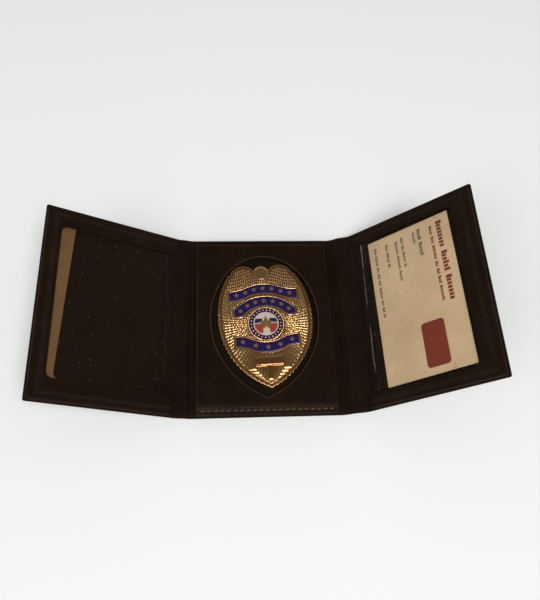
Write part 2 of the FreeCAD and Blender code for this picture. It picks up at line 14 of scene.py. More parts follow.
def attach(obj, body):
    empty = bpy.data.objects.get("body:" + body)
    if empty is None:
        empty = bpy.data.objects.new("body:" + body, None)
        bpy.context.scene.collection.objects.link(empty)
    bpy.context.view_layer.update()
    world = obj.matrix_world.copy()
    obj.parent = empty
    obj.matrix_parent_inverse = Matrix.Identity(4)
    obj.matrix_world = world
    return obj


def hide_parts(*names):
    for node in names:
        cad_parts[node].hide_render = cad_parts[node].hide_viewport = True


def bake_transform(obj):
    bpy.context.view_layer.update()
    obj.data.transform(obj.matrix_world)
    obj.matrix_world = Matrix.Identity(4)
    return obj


bl_info = {
    "name": "Badge wallet",
    "version": (1, 0, 0),
    "blender": (4, 5, 0),
    "location": "View3D > Sidebar > Wallet",
    "description": "Builds the looks of an open trifold badge wallet round its packed solids",
    "category": "Object",
}

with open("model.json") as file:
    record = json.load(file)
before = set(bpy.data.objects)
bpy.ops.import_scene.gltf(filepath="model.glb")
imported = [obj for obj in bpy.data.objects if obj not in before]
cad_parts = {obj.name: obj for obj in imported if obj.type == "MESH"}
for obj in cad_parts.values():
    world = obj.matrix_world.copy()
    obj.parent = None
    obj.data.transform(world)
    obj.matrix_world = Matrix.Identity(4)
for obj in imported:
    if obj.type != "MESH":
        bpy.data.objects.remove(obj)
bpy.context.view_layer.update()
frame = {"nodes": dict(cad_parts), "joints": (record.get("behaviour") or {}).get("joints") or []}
JOINTS = {joint["name"]: joint for joint in frame["joints"]}

MM = 0.001
SIDES = {"left": -1.0, "right": 1.0}
TALL = np.array((0.0, 1.0, 0.0))
MERGE = 1e-7  # points nearer to each other than this are one point

# Camera fitted to the photograph's corners, for an image of 540 by 600
LENS, SENSOR = 38.191, 36.0
CAMERA_PLACE = (-24.3006 * MM, -147.59 * MM, 339.3752 * MM)
CAMERA_TURN = np.radians((25.76312, -3.66365, -2.49284))


def to_linear(code):
    """An sRGB hex colour as linear red, green and blue: a straight share near black, the power 2.4 above."""
    srgb = np.array([int(code[place : place + 2], 16) for place in (1, 3, 5)]) / 255
    linear = np.where(srgb <= 0.04045, srgb / 12.92, ((srgb + 0.055) / 1.055) ** 2.4)
    return tuple(linear.tolist())


def length(label, millimetres, words):
    """A size of the wallet that a user may change."""
    return FloatProperty(name=label, description=words, default=millimetres * MM, min=0.0, unit="LENGTH")


def colour(label, code, words):
    """A colour of the wallet that a user may change."""
    return FloatVectorProperty(
        name=label, description=words, default=to_linear(code), min=0.0, max=1.0, size=3, subtype="COLOR"
    )


class WalletSizes(bpy.types.PropertyGroup):
    """Sizes of the finish and of the forms that only the looks have."""

    grain: length("Leather grain", 0.9, "Width of one cell of the leather's grain")
    edge: length("Edge rounding", 0.4, "Radius of the leather's burnished edges")
    rim: length("Recess rim", 0.4, "Radius of the leather where it turns down into the recess")
    panel_corner: length("Panel corner", 1.0, "Radius of the inner panels' corners")
    outer_corner: length("Outer corner", 1.2, "Radius of the shell's outer corners")
    seam_press: length("Seam press", 1.7, "How far the seam below the badge pulls the padded panel down")
    seam_reach: length("Seam reach", 6.0, "From the panel's edge to where the pull of the seam ends")
    hem: length("Hem", 3.2, "From the badge panel's top edge to the crease of its hem")
    groove: length("Stitch groove", 0.16, "Depth to which the thread pulls into the leather")
    seam_inset: length("Seam inset", 1.9, "From the row below the badge to the panel's edge")
    flap_inset: length("Flap inset", 3.2, "From the rows along the flaps to their top and bottom edges")
    rail_inset: length("Rail inset", 4.8, "From the rows at the flaps' outer ends to their edge")
    stitch_pitch: length("Stitch pitch", 3.4, "From one stitch to the next")
    stitch_length: length("Stitch length", 2.7, "Length of thread that shows")
    stitch_radius: length("Thread radius", 0.34, "Half the thread's thickness")
    left_rail: length("Left rail", 8.0, "From the left frame's outer edge to its window")
    right_rail: length("Right rail", 11.3, "From the right frame's outer edge to its window")
    left_band: length("Left band", 10.25, "Left frame above and below its window, on average")
    right_band: length("Right band", 7.25, "Right frame above and below its window, on average")
    window_corner: length("Window corner", 3.5, "Radius of the windows' corners")
    pocket_play: length("Pocket play", 2.5, "Pocket beyond the window on its sewn sides")
    recess_half: length("Recess half width", 31.25, "From the middle of the badge's recess to its side")
    recess_top: length("Recess top", 41.0, "From the recess's widest line up")
    recess_tip: length("Recess tip", 47.0, "From the recess's widest line down to its point")
    turned_in: length("Turned edge", 0.9, "How far the face leather reaches in over the recess's wall")
    badge_half: length("Badge half width", 27.5, "Half the badge's width")
    badge_tip: length("Badge tip", 41.6, "From the badge's widest line down to its point")
    badge_shoulder: length("Badge shoulder", 29.0, "From the badge's widest line up to its flat shoulder")
    rays: IntProperty(name="Rays", description="Number of rays struck round the seal", default=84, min=12)
    leaf_pitch: length("Border pitch", 2.9, "Length of one leaf of the badge's border")


class WalletColours(bpy.types.PropertyGroup):
    """Colours of the wallet's finishes."""

    leather: colour("Leather", "#1C1108", "Dyed face of the leather")
    # This paler colour is used for rubbed, cut edges and also for the painted highlights on the badge panel's
    # face
    worn_and_highlit: colour("Worn leather", "#4A3A2E", "Edges of the leather, rubbed and cut")
    lining: colour("Lining", "#1C120B", "Thin leather inside")
    thread: colour("Thread", "#21170F", "Waxed thread round the windows")
    # Painted highlight: the thread below the badge is coloured paler for the light that falls on it
    highlit_seam_thread: colour("Dusty thread", "#5E4D3F", "Waxed thread below the badge, rubbed and dusty")
    insert: colour("Insert", "#20150E", "Dark insert card behind the left window")
    sheet: colour("Paper sheet", "#745636", "Tan paper sheet behind the insert")
    card: colour("Card", "#CFB48F", "Pale card behind the right window")
    print_red: colour("Red print", "#7A2F1E", "Red ink on the pale card")
    print_grey: colour("Grey print", "#6E5F50", "Grey ink on the pale card")
    gold: colour("Gold", "#A27046", "Gold plate in the hollows of the badge")
    # Painted highlight: this paler gold is mixed in where the relief is raised, and on all stars and beads
    gold_highlight: colour("Raised gold", "#E2B87E", "Gold plate where the badge is raised and rubbed")
    blue: colour("Blue enamel", "#1B0A48", "Banners and ring of the badge")
    white: colour("White enamel", "#C8B8A6", "Field of the seal")
    red: colour("Red enamel", "#9A3A2C", "Patches on the seal")
    floor: colour("Floor", "#FAFAF8", "Plain floor under the wallet")


# Panels, and the bending of the shell between them

Panel = namedtuple("Panel", "body origin across out")
Fold = namedtuple("Fold", "sign half spine turn rise")


def flap_panel(side):
    """The flap's own frame: across runs away from the fold, out rises from the leather inside."""
    across = -np.array(JOINTS[side + "_card_slide"]["axis"])
    out = np.array((-across[2] * SIDES[side], 0.0, abs(across[0])))
    return Panel(side + "_flap", np.array(JOINTS[side + "_outer_fold"]["pos_m"]), across, out)


def fold_of(side):
    """Place of a side's two fold lines: the spine's length and its angle at rest come from the two lines."""
    inner = np.array(JOINTS[side + "_inner_fold"]["pos_m"])
    reach = np.array(JOINTS[side + "_outer_fold"]["pos_m"]) - inner
    turn = np.arctan2(reach[2], abs(reach[0]))
    return Fold(SIDES[side], abs(inner[0]), np.linalg.norm(reach), turn, inner[2])


FOLDS = {side: fold_of(side) for side in SIDES}
CENTER = Panel(
    "center", np.array((0.0, 0.0, FOLDS["left"].rise)), np.array((1.0, 0.0, 0.0)), np.array((0.0, 0.0, 1.0))
)
FLAPS = {side: flap_panel(side) for side in SIDES}
RECESS_SHIFT = np.array((0.4, 0.0)) * MM  # the recess sits this far to the right of the panel's middle
FOLD_BACK = 1.5 * MM  # the bend starts this far before an inner fold line and ends as far past an outer one
SPINE_REST = 0.5 * MM  # stays unbent on each side of a spine's middle
WRINKLE = 3.3 * MM  # from one wrinkle of a fold to the next


def placed(panel, across, tall, out):
    """Points of a panel's frame as points in space: the origin plus each distance along its own direction."""
    across, tall, out = np.broadcast_arrays(across, tall, out)
    steps = across[..., None] * panel.across + tall[..., None] * TALL + out[..., None] * panel.out
    return panel.origin + steps


def extent(node, panel):
    """Lowest and highest across, tall and out of a solid in a panel's frame."""
    mesh = frame["nodes"][node].data
    spots = np.zeros(3 * len(mesh.vertices))
    mesh.vertices.foreach_get("co", spots)
    steps = spots.reshape(-1, 3) - panel.origin
    local = np.stack((steps @ panel.across, steps @ TALL, steps @ panel.out), axis=1)
    return local.min(axis=0), local.max(axis=0)


def ease(share):
    """Smooth step from 0 to 1: three squares less two cubes."""
    share = np.clip(share, 0.0, 1.0)
    return share * share * (3 - 2 * share)


def bell(distance, width):
    """Bell curve: 1 at no distance, and e to the power of less the square of the distance in widths."""
    return np.exp(-((distance / width) ** 2))


def turn_about(line, angle, x, z):
    """Turns points about a fold line that lies at x and at no height."""
    step = x - line
    return line + step * np.cos(angle) - z * np.sin(angle), step * np.sin(angle) + z * np.cos(angle)


def bend(fold, along, out):
    """A point of the flat shell, along it from the middle and out from the fold lines' plane, as x and z. It
    turns about the outer fold line, then about the inner one, each by the eased share of the fold's angle."""
    reach = fold.spine / 2 - SPINE_REST
    outer = fold.half + fold.spine
    through = ease((along - outer + reach) / (reach + FOLD_BACK))
    x, z = turn_about(outer, fold.turn * through, along, out)
    through = ease((along - fold.half + FOLD_BACK) / (reach + FOLD_BACK))
    x, z = turn_about(fold.half, fold.turn * through, x, z)
    return fold.sign * x, fold.rise + z


def wrinkles(fold, along, tall, depth, bulge):
    """Soft wrinkles along a fold: a sine wave across it that wanders slowly along it, on a swelling between
    the two fold lines, both faded out at the fold's sides by a squared sine."""
    share = np.clip((along - fold.half + FOLD_BACK) / (fold.spine + 2 * FOLD_BACK), 0, 1)
    wander = 1.1 * np.sin(tall / (13 * MM)) + 0.6 * np.sin(tall / (5.1 * MM) + 1.7)
    patchy = 0.65 + 0.35 * np.sin(tall / (17 * MM) + along / (3 * MM))
    wave = depth * patchy * np.sin(2 * np.pi * along / WRINKLE + wander)
    return (wave + bulge) * np.sin(np.pi * share) ** 2


# Meshes


def grid_faces(rows, columns, close_rows, close_columns):
    """Four-sided faces of a grid of points, joined end to end where asked."""
    row = np.arange(rows if close_rows else rows - 1)[:, None]
    column = np.arange(columns if close_columns else columns - 1)[None, :]
    next_row, next_column = (row + 1) % rows, (column + 1) % columns
    corners = (
        row * columns + column,
        next_row * columns + column,
        next_row * columns + next_column,
        row * columns + next_column,
    )
    return np.stack(np.broadcast_arrays(*corners), axis=-1).reshape(-1, 4).tolist()


def repeated(faces, copies, points):
    """Faces of one shape, given again for each of its copies, whose points follow each other."""
    faces = np.asarray(faces)
    return (faces + points * np.arange(copies)[:, None, None]).reshape(-1, faces.shape[1]).tolist()


def add_piece(name, points, faces, material, marks=None, crease=40):
    """Puts points and faces into the scene as one piece. Doubled points at seams and poles are merged, faces
    turned outwards, and shading is smooth up to the crease angle. Marks are numbers kept at the points."""
    mesh = bpy.data.meshes.new(name)
    mesh.from_pydata(points.reshape(-1, 3).tolist(), [], faces)
    for mark, values in (marks or {}).items():
        attribute = mesh.attributes.new(mark, "FLOAT", "POINT")
        attribute.data.foreach_set("value", np.ascontiguousarray(values, dtype=np.float32).ravel())
    shape = bmesh.new()
    shape.from_mesh(mesh)
    bmesh.ops.remove_doubles(shape, verts=shape.verts, dist=MERGE)
    bmesh.ops.recalc_face_normals(shape, faces=shape.faces)
    shape.to_mesh(mesh)
    shape.free()
    mesh.polygons.foreach_set("use_smooth", np.ones(len(mesh.polygons), dtype=bool))
    mesh.set_sharp_from_angle(angle=np.radians(crease))
    mesh.materials.append(material)
    piece = bpy.data.objects.new(name, mesh)
    bpy.context.scene.collection.objects.link(piece)
    return piece


def add_loops(name, points, material, closed=False, marks=None):
    """A piece from closed loops in rows: joined to the first row again, or shut by a face at each end."""
    rows, columns = points.shape[:2]
    faces = grid_faces(rows, columns, closed, True)
    if not closed:
        last = np.arange((rows - 1) * columns, rows * columns)
        faces += [np.arange(columns)[::-1].tolist(), last.tolist()]
    return add_piece(name, points, faces, material, marks)


def finish_node(node, material):
    """Gives a solid that is kept its finish."""
    mesh = frame["nodes"][node].data
    mesh.materials.clear()
    mesh.materials.append(material)


# Outlines and sections


def circle(steps):
    """Directions all round, evenly spaced, from the right."""
    angles = np.linspace(0, 2 * np.pi, steps, endpoint=False)
    return np.stack((np.cos(angles), np.sin(angles)), 1)


def rail_path(start, end, foot, head, radius, straight=60, corner=12, side=80):
    """Along the foot from the pocket's mouth, round two corners of the outer end, and back along the head, with
    so many points on each long side, at each corner and along the outer end."""
    turn = np.linspace(-np.pi / 2, 0, corner)
    run, rise = np.linspace(start, end - radius, straight), np.linspace(foot + radius, head - radius, side)
    lower = np.stack((run, np.full(straight, foot)), 1)
    first = np.stack((end - radius + radius * np.cos(turn), foot + radius + radius * np.sin(turn)), 1)
    outer = np.stack((np.full(side, end), rise), 1)
    second = np.stack((first[::-1, 0], foot + head - first[::-1, 1]), 1)
    upper = np.stack((run[::-1], np.full(straight, head)), 1)
    return np.concatenate((lower, first[1:-1], outer, second[1:-1], upper))


def rounded_rectangle(low, high, radius, corner=9, side=30):
    """A closed outline between its lowest and highest across and tall: four straight sides and four quarter
    circles, from the right side's foot."""
    (west, foot), (east, head) = low[:2], high[:2]
    turns = np.linspace(0, np.pi / 2, corner)
    middles = (
        (east - radius, head - radius), (west + radius, head - radius),
        (west + radius, foot + radius), (east - radius, foot + radius),
    )
    arcs = []
    for part, (across, tall) in enumerate(middles):
        angle = turns + part * np.pi / 2
        arcs.append(np.stack((across + radius * np.cos(angle), tall + radius * np.sin(angle)), 1))
    share = np.linspace(0, 1, side)[1:-1, None]
    pieces = []
    for part in range(4):
        start, end = arcs[part - 1][-1], arcs[part][0]
        pieces += [start + (end - start) * share, arcs[part]]
    return np.concatenate(pieces)


def drop_outline(half, top, tip, steps=120):
    """A pointed drop: half an oval above the widest line, and two arcs below that meet at a tip."""
    turn = np.linspace(0, np.pi, steps)
    upper = np.stack((half * np.cos(turn), top * np.sin(turn)), 1)
    radius = (tip**2 + half**2) / (2 * half)
    sweep = np.linspace(0, np.arcsin(tip / radius), steps)
    lower = np.stack((half - radius + radius * np.cos(sweep), -radius * np.sin(sweep)), 1)
    mirrored = lower * (-1, 1)
    return np.concatenate((upper, mirrored[1:], lower[::-1][1:-1]))


def radius_at(outline, angles):
    """Distance from the origin to an outline that every ray crosses once, read off between its points."""
    spots = np.arctan2(outline[:, 1], outline[:, 0])
    order = np.argsort(spots)
    return np.interp(angles, spots[order], np.hypot(*outline.T)[order], period=2 * np.pi)


OUTER_SHARE, INNER_SHARE = 0.6, 0.35  # most of a band's width that the points near each outline may take


def band(outer, inner, section):
    """A section carried between two outlines of as many points. Points with a share of 0 or 1 lie at their
    own distance from outer or inner, closer where the band is narrow, and the others share out what is left
    between. Returns across, tall and the distance left to inner."""
    share, inset = section[:, 0], section[:, 1]
    gap = inner - outer
    width = np.linalg.norm(gap, axis=1, keepdims=True)
    start = np.minimum(inset[share == 0].max(), OUTER_SHARE * width)
    stop = width + np.maximum(inset[share == 1].min(), -INNER_SHARE * width)
    far = start + (stop - start) * share
    far = np.where(share == 0, np.minimum(inset, start), far)
    far = np.where(share == 1, np.maximum(width + inset, stop), far)
    spots = outer[:, None, :] + (gap / width)[:, None, :] * far[..., None]
    return spots[..., 0], spots[..., 1], width - far


STRIP_CURL, PLATE_CURL = 7, 5  # points of the quarter circle at a strip's and at a plate's edge


def strip_section(floor, top, edge, rim, outer_insets, inner_insets, middle=5):
    """Closed section of a leather strip, as share, inset and height: over the outer edge by a quarter circle,
    along the top by the insets asked for, and down by another quarter circle at the inner rim."""
    turn = np.linspace(0, np.pi / 2, STRIP_CURL)
    curl_in, curl_up = edge * (1 - np.cos(turn)), top - edge + edge * np.sin(turn)
    rim_in, rim_up = rim * (1 - np.sin(turn)), top - rim + rim * np.cos(turn)
    shares = np.linspace(0, 1, middle + 2)[1:-1]
    outer, inner = np.asarray(outer_insets), np.asarray(inner_insets)
    level = np.full(len(outer) + middle + len(inner), top)
    at_outer, at_inner = np.zeros(STRIP_CURL + 1 + len(outer)), np.ones(len(inner) + STRIP_CURL + 1)
    share = np.concatenate((at_outer, shares, at_inner))
    inset = np.concatenate(((0.0,), curl_in, outer, 0 * shares, -inner, -rim_in, (0.0,)))
    height = np.concatenate(((floor,), curl_up, level, rim_up, (floor,)))
    return np.stack((share, inset, height), 1)


def plate_section(floor, top, edge, rings=14, under_rings=2):
    """Open section of a plate, from the middle of its face over its rounded edge to the middle of its back."""
    turn = np.linspace(0, np.pi / 2, PLATE_CURL)
    shares, unders = np.linspace(1, 0, rings), np.linspace(0, 1, under_rings)
    curl, rise = edge * (1 - np.sin(turn)), edge * np.cos(turn)
    face = np.stack((shares, edge * (1 - shares), np.full(rings, top)), 1)
    rim = np.stack((0 * turn, curl, top - edge + rise), 1)
    back = np.stack((0 * turn, curl, floor + edge - rise), 1)[::-1]
    under = np.stack((unders, edge * (1 - unders), np.full(under_rings, floor)), 1)
    return np.concatenate((face, rim[1:], back, under[1:]))


def add_plate(name, panel, outline, section, material, wave=None, marks=None):
    """A plate on a panel: its section carried between its outline and its middle, so each point of the
    outline has one rib. The wave gives an added height, and each mark its number, at each point."""
    middle = (outline.min(axis=0) + outline.max(axis=0)) / 2
    across, tall, _ = band(outline, np.broadcast_to(middle, outline.shape), section)
    out = np.broadcast_to(section[:, 2], across.shape)
    if wave is not None:
        out = out + wave(across, tall)
    points = placed(panel, across, tall, out)
    faces = grid_faces(*points.shape[:2], True, False)
    numbers = {mark: rule(across, tall) for mark, rule in (marks or {}).items()}
    return add_piece(name, points, faces, material, numbers)


def turned(outline, middle, angle):
    """An outline turned about its own middle and moved there."""
    turn = np.array(((np.cos(angle), -np.sin(angle)), (np.sin(angle), np.cos(angle))))
    return outline @ turn.T + middle


def unevenness(across, tall, height):
    """Slow swell of hand-laid leather: three crossed sine waves of 17 to 41 mm, each a third of the height."""
    return height / 3 * (
        np.sin(across / (4.1 * MM) + 1.3) * np.sin(tall / (6.5 * MM))
        + np.sin(tall / (3.3 * MM) + 0.4 * np.sin(across / (5.2 * MM)))
        + np.sin((across + tall) / (2.7 * MM) + 2.1)
    )


# Materials


def add_node(tree, kind, links=None, **settings):
    """Adds a node with its settings. Links give each input a number, a colour or another node's output."""
    node = tree.nodes.new(kind)
    for key, value in settings.items():
        setattr(node, key, value)
    for key, value in (links or {}).items():
        if isinstance(value, bpy.types.NodeSocket):
            tree.links.new(value, node.inputs[key])
        else:
            node.inputs[key].default_value = value
    return node


def rgba(tint, factor=1.0):
    """A linear colour times a factor, no brighter than white, with the fourth number that nodes expect."""
    return (*(min(1.0, factor * part) for part in tint), 1.0)


def new_material(name):
    """An empty material, its tree, and the place of each point on the piece that patterns are drawn by."""
    material = bpy.data.materials.new(name)
    material.use_nodes = True
    tree = material.node_tree
    tree.nodes.clear()
    return material, tree, add_node(tree, "ShaderNodeTexCoord").outputs["Object"]


def leather(name, tint, worn_and_highlit, grain, rough, depth):
    """Drum-dyed cowhide with a plated finish: a satin, near black brown with fine pebbled cells, slow mottling
    from the dye, and a paler, duller line where edges are cut and rubbed and where highlights are painted."""
    material, tree, place = new_material(name)
    cells = add_node(
        tree, "ShaderNodeTexVoronoi", {"Vector": place, "Scale": 1 / grain, "Randomness": 0.9},
        feature="SMOOTH_F1",
    )
    pores = add_node(
        tree, "ShaderNodeTexNoise",
        {"Vector": place, "Scale": 1 / (2.2 * grain), "Detail": 6.0, "Roughness": 0.65},
    )
    mottle = add_node(
        tree, "ShaderNodeTexNoise",
        {"Vector": place, "Scale": 1 / (14 * MM), "Detail": 3.0, "Roughness": 0.55},
    )
    wear = add_node(tree, "ShaderNodeAttribute", attribute_name="wear").outputs["Fac"]
    # Share of the paler colour: edge wear, and painted highlights where the badge panel's face has them
    scuff_and_highlight = add_node(tree, "ShaderNodeMath", {0: wear, 1: pores.outputs["Fac"]}, operation="MULTIPLY")
    shade = add_node(
        tree, "ShaderNodeMapRange", {"Value": mottle.outputs["Fac"], "From Min": 0.3, "From Max": 0.7}
    )
    dyed = add_node(
        tree, "ShaderNodeMix",
        {"Factor": shade.outputs[0], "A": rgba(tint, 0.72), "B": rgba(tint, 1.3)}, data_type="RGBA",
    )
    face = add_node(
        tree, "ShaderNodeMix",
        {"Factor": scuff_and_highlight.outputs[0], "A": dyed.outputs["Result"], "B": rgba(worn_and_highlit)}, data_type="RGBA",
    )
    gloss = add_node(
        tree, "ShaderNodeMapRange",
        {"Value": pores.outputs["Fac"], "From Min": 0.3, "From Max": 0.7,
         "To Min": rough - 0.07, "To Max": rough + 0.07},
    )
    dull = add_node(
        tree, "ShaderNodeMath", {0: wear, 1: 2.5, 2: gloss.outputs[0]},
        operation="MULTIPLY_ADD", use_clamp=True,
    )
    pebble = add_node(
        tree, "ShaderNodeMath", {0: cells.outputs["Distance"], 1: pores.outputs["Fac"]}, operation="MULTIPLY"
    )
    bump = add_node(
        tree, "ShaderNodeBump", {"Height": pebble.outputs[0], "Strength": 0.5, "Distance": depth}, invert=True
    )
    shader = add_node(
        tree, "ShaderNodeBsdfPrincipled",
        {"Base Color": face.outputs["Result"], "Roughness": dull.outputs[0], "IOR": 1.5,
         "Specular IOR Level": 0.045, "Normal": bump.outputs["Normal"]},
    )
    add_node(tree, "ShaderNodeOutputMaterial", {"Surface": shader.outputs["BSDF"]})
    return material


def plain_stock(name, tint, rough, speck, depth, shine=0.3):
    """Board, felt, paper or moulded sheet: one colour with fine specks, a slow change of tone, a dull face."""
    material, tree, place = new_material(name)
    fibre = add_node(
        tree, "ShaderNodeTexNoise", {"Vector": place, "Scale": 1 / speck, "Detail": 5.0, "Roughness": 0.6}
    )
    slow = add_node(tree, "ShaderNodeTexNoise", {"Vector": place, "Scale": 1 / (22 * MM), "Detail": 2.0})
    mixed = add_node(
        tree, "ShaderNodeMath", {0: fibre.outputs["Fac"], 1: slow.outputs["Fac"]}, operation="MULTIPLY"
    )
    share = add_node(
        tree, "ShaderNodeMapRange", {"Value": mixed.outputs[0], "From Min": 0.15, "From Max": 0.4}
    )
    tone = add_node(
        tree, "ShaderNodeMix",
        {"Factor": share.outputs[0], "A": rgba(tint, 0.86), "B": rgba(tint, 1.08)}, data_type="RGBA",
    )
    bump = add_node(
        tree, "ShaderNodeBump", {"Height": fibre.outputs["Fac"], "Strength": 0.3, "Distance": depth}
    )
    shader = add_node(
        tree, "ShaderNodeBsdfPrincipled",
        {"Base Color": tone.outputs["Result"], "Roughness": rough, "Specular IOR Level": shine,
         "Normal": bump.outputs["Normal"]},
    )
    add_node(tree, "ShaderNodeOutputMaterial", {"Surface": shader.outputs["BSDF"]})
    return material


def clear_vinyl(name):
    """Clear plasticised vinyl, calendered: nothing of its own to see but a soft gloss that grows at low angles,
    a welded edge that mirrors more light as a painted glint, and a few specks of lint, some pale and some
    dark. The specks are drawn about half a millimetre wide so that they show."""
    material, tree, place = new_material(name)
    wobble = add_node(tree, "ShaderNodeTexNoise", {"Vector": place, "Scale": 1 / (9 * MM), "Detail": 2.0})
    bump = add_node(
        tree, "ShaderNodeBump", {"Height": wobble.outputs["Fac"], "Strength": 0.25, "Distance": 1.0 * MM}
    )
    lint = add_node(
        tree, "ShaderNodeTexVoronoi", {"Vector": place, "Scale": 1 / (2.4 * MM), "Randomness": 1.0}
    )
    near = add_node(tree, "ShaderNodeMath", {0: lint.outputs["Distance"], 1: 0.1}, operation="LESS_THAN")
    picked = add_node(tree, "ShaderNodeSeparateColor", {"Color": lint.outputs["Color"]})
    kept = add_node(tree, "ShaderNodeMath", {0: picked.outputs["Red"], 1: 0.34}, operation="LESS_THAN")
    speck = add_node(tree, "ShaderNodeMath", {0: near.outputs[0], 1: kept.outputs[0]}, operation="MULTIPLY")
    fluff = add_node(
        tree, "ShaderNodeMix",
        {"Factor": picked.outputs["Green"], "A": rgba(to_linear("#383029")), "B": rgba(to_linear("#7A7063"))},
        data_type="RGBA",
    )
    facing = add_node(tree, "ShaderNodeLayerWeight", {"Blend": 0.5, "Normal": bump.outputs["Normal"]})
    steep = add_node(tree, "ShaderNodeMath", {0: facing.outputs["Facing"], 1: 4.0}, operation="POWER")
    edge_on = add_node(
        tree, "ShaderNodeMapRange", {"Value": steep.outputs[0], "To Min": 0.002, "To Max": 0.3}
    )
    # Painted glint: a broken line of mirror along the welded free edge
    sealed = add_node(tree, "ShaderNodeAttribute", attribute_name="sealed").outputs["Fac"]
    broken = add_node(
        tree, "ShaderNodeMapRange", {"Value": wobble.outputs["Fac"], "From Min": 0.42, "From Max": 0.62}
    )
    weld = add_node(tree, "ShaderNodeMath", {0: sealed, 1: broken.outputs[0]}, operation="MULTIPLY")
    shine = add_node(tree, "ShaderNodeMath", {0: edge_on.outputs[0], 1: weld.outputs[0]}, operation="MAXIMUM")
    gloss = add_node(
        tree, "ShaderNodeBsdfPrincipled",
        {"Base Color": rgba(to_linear("#E6DCCB")), "Metallic": 1.0, "Roughness": 0.14,
         "Normal": bump.outputs["Normal"]},
    )
    clear = add_node(tree, "ShaderNodeBsdfTransparent", {"Color": rgba(to_linear("#FDFCFB"))})
    film = add_node(
        tree, "ShaderNodeMixShader", {0: shine.outputs[0], 1: clear.outputs["BSDF"], 2: gloss.outputs["BSDF"]}
    )
    dust = add_node(
        tree, "ShaderNodeBsdfPrincipled",
        {"Base Color": fluff.outputs["Result"], "Roughness": 0.9, "Specular IOR Level": 0.1},
    )
    mix = add_node(
        tree, "ShaderNodeMixShader", {0: speck.outputs[0], 1: film.outputs["Shader"], 2: dust.outputs["BSDF"]}
    )
    add_node(tree, "ShaderNodeOutputMaterial", {"Surface": mix.outputs["Shader"]})
    return material


def struck_metal(name, tint, high, rough):
    """Die-struck and plated metal: darker with a fine satin in the hollows, and paler and brighter where raised
    as a painted highlight.
    """
    material, tree, place = new_material(name)
    satin = add_node(
        tree, "ShaderNodeTexNoise",
        {"Vector": place, "Scale": 1 / (0.5 * MM), "Detail": 4.0, "Roughness": 0.7},
    )
    # Painted highlight: the raised mark mixes in the paler colour
    height = add_node(tree, "ShaderNodeAttribute", attribute_name="raised").outputs["Fac"]
    tone = add_node(
        tree, "ShaderNodeMix", {"Factor": height, "A": rgba(tint), "B": rgba(high)}, data_type="RGBA"
    )
    gloss = add_node(
        tree, "ShaderNodeMapRange",
        {"Value": satin.outputs["Fac"], "From Min": 0.3, "From Max": 0.7,
         "To Min": rough, "To Max": rough + 0.12},
    )
    bump = add_node(
        tree, "ShaderNodeBump", {"Height": satin.outputs["Fac"], "Strength": 0.5, "Distance": 0.1 * MM}
    )
    shader = add_node(
        tree, "ShaderNodeBsdfPrincipled",
        {"Base Color": tone.outputs["Result"], "Metallic": 1.0, "Roughness": gloss.outputs[0],
         "Normal": bump.outputs["Normal"]},
    )
    add_node(tree, "ShaderNodeOutputMaterial", {"Surface": shader.outputs["BSDF"]})
    return material


def enamel(name, tint, accents=None):
    """Hard enamel, fired and polished flat: a deep glassy colour, slightly uneven where it was ground. Accents
    are other enamels in the same bed, each where its own mark on the mesh says."""
    material, tree, place = new_material(name)
    ground = add_node(tree, "ShaderNodeTexNoise", {"Vector": place, "Scale": 1 / (2.5 * MM), "Detail": 3.0})
    tone = add_node(
        tree, "ShaderNodeMix",
        {"Factor": ground.outputs["Fac"], "A": rgba(tint, 0.8), "B": rgba(tint, 1.2)}, data_type="RGBA",
    )
    for mark, accent in (accents or {}).items():
        share = add_node(tree, "ShaderNodeAttribute", attribute_name=mark).outputs["Fac"]
        tone = add_node(
            tree, "ShaderNodeMix",
            {"Factor": share, "A": tone.outputs["Result"], "B": rgba(accent)}, data_type="RGBA",
        )
    bump = add_node(
        tree, "ShaderNodeBump", {"Height": ground.outputs["Fac"], "Strength": 0.12, "Distance": 0.2 * MM}
    )
    shader = add_node(
        tree, "ShaderNodeBsdfPrincipled",
        {"Base Color": tone.outputs["Result"], "Roughness": 0.14, "IOR": 1.52,
         "Normal": bump.outputs["Normal"]},
    )
    add_node(tree, "ShaderNodeOutputMaterial", {"Surface": shader.outputs["BSDF"]})
    return material


WAVE_PERIOD = 2 * np.pi / 20  # length of a wave texture's bands at a scale of 1
STRAND_PITCH = 1.1843 * MM  # from one ridge of the thread to the next


def waxed_thread(name, tint):
    """Waxed polyester thread, three strands twisted: a dull sheen with slanting ridges, drawn 1.2 mm apart so
    that they show."""
    material, tree, place = new_material(name)
    lay = add_node(tree, "ShaderNodeMapping", {"Vector": place, "Rotation": (0.0, 0.0, np.pi / 4)})
    strands = add_node(
        tree, "ShaderNodeTexWave",
        {"Vector": lay.outputs["Vector"], "Scale": WAVE_PERIOD / STRAND_PITCH, "Distortion": 0.5},
    )
    tone = add_node(
        tree, "ShaderNodeMix",
        {"Factor": strands.outputs["Fac"], "A": rgba(tint, 0.6), "B": rgba(tint)}, data_type="RGBA",
    )
    bump = add_node(
        tree, "ShaderNodeBump", {"Height": strands.outputs["Fac"], "Strength": 0.4, "Distance": 0.1 * MM}
    )
    shader = add_node(
        tree, "ShaderNodeBsdfPrincipled",
        {"Base Color": tone.outputs["Result"], "Roughness": 0.5, "Specular IOR Level": 0.08,
         "Normal": bump.outputs["Normal"]},
    )
    add_node(tree, "ShaderNodeOutputMaterial", {"Surface": shader.outputs["BSDF"]})
    return material


def finish(name, make, *settings):
    """The finish of that name, made the first time it is asked for."""
    return bpy.data.materials.get(name) or make(name, *settings)


def cowhide(context):
    """The leather of the cover and of every face."""
    sizes, colours = context.scene.wallet_sizes, context.scene.wallet_colours
    return finish(
        "drum_dyed_cowhide", leather, tuple(colours.leather), tuple(colours.worn_and_highlit), sizes.grain, 0.5, 0.18 * MM
    )


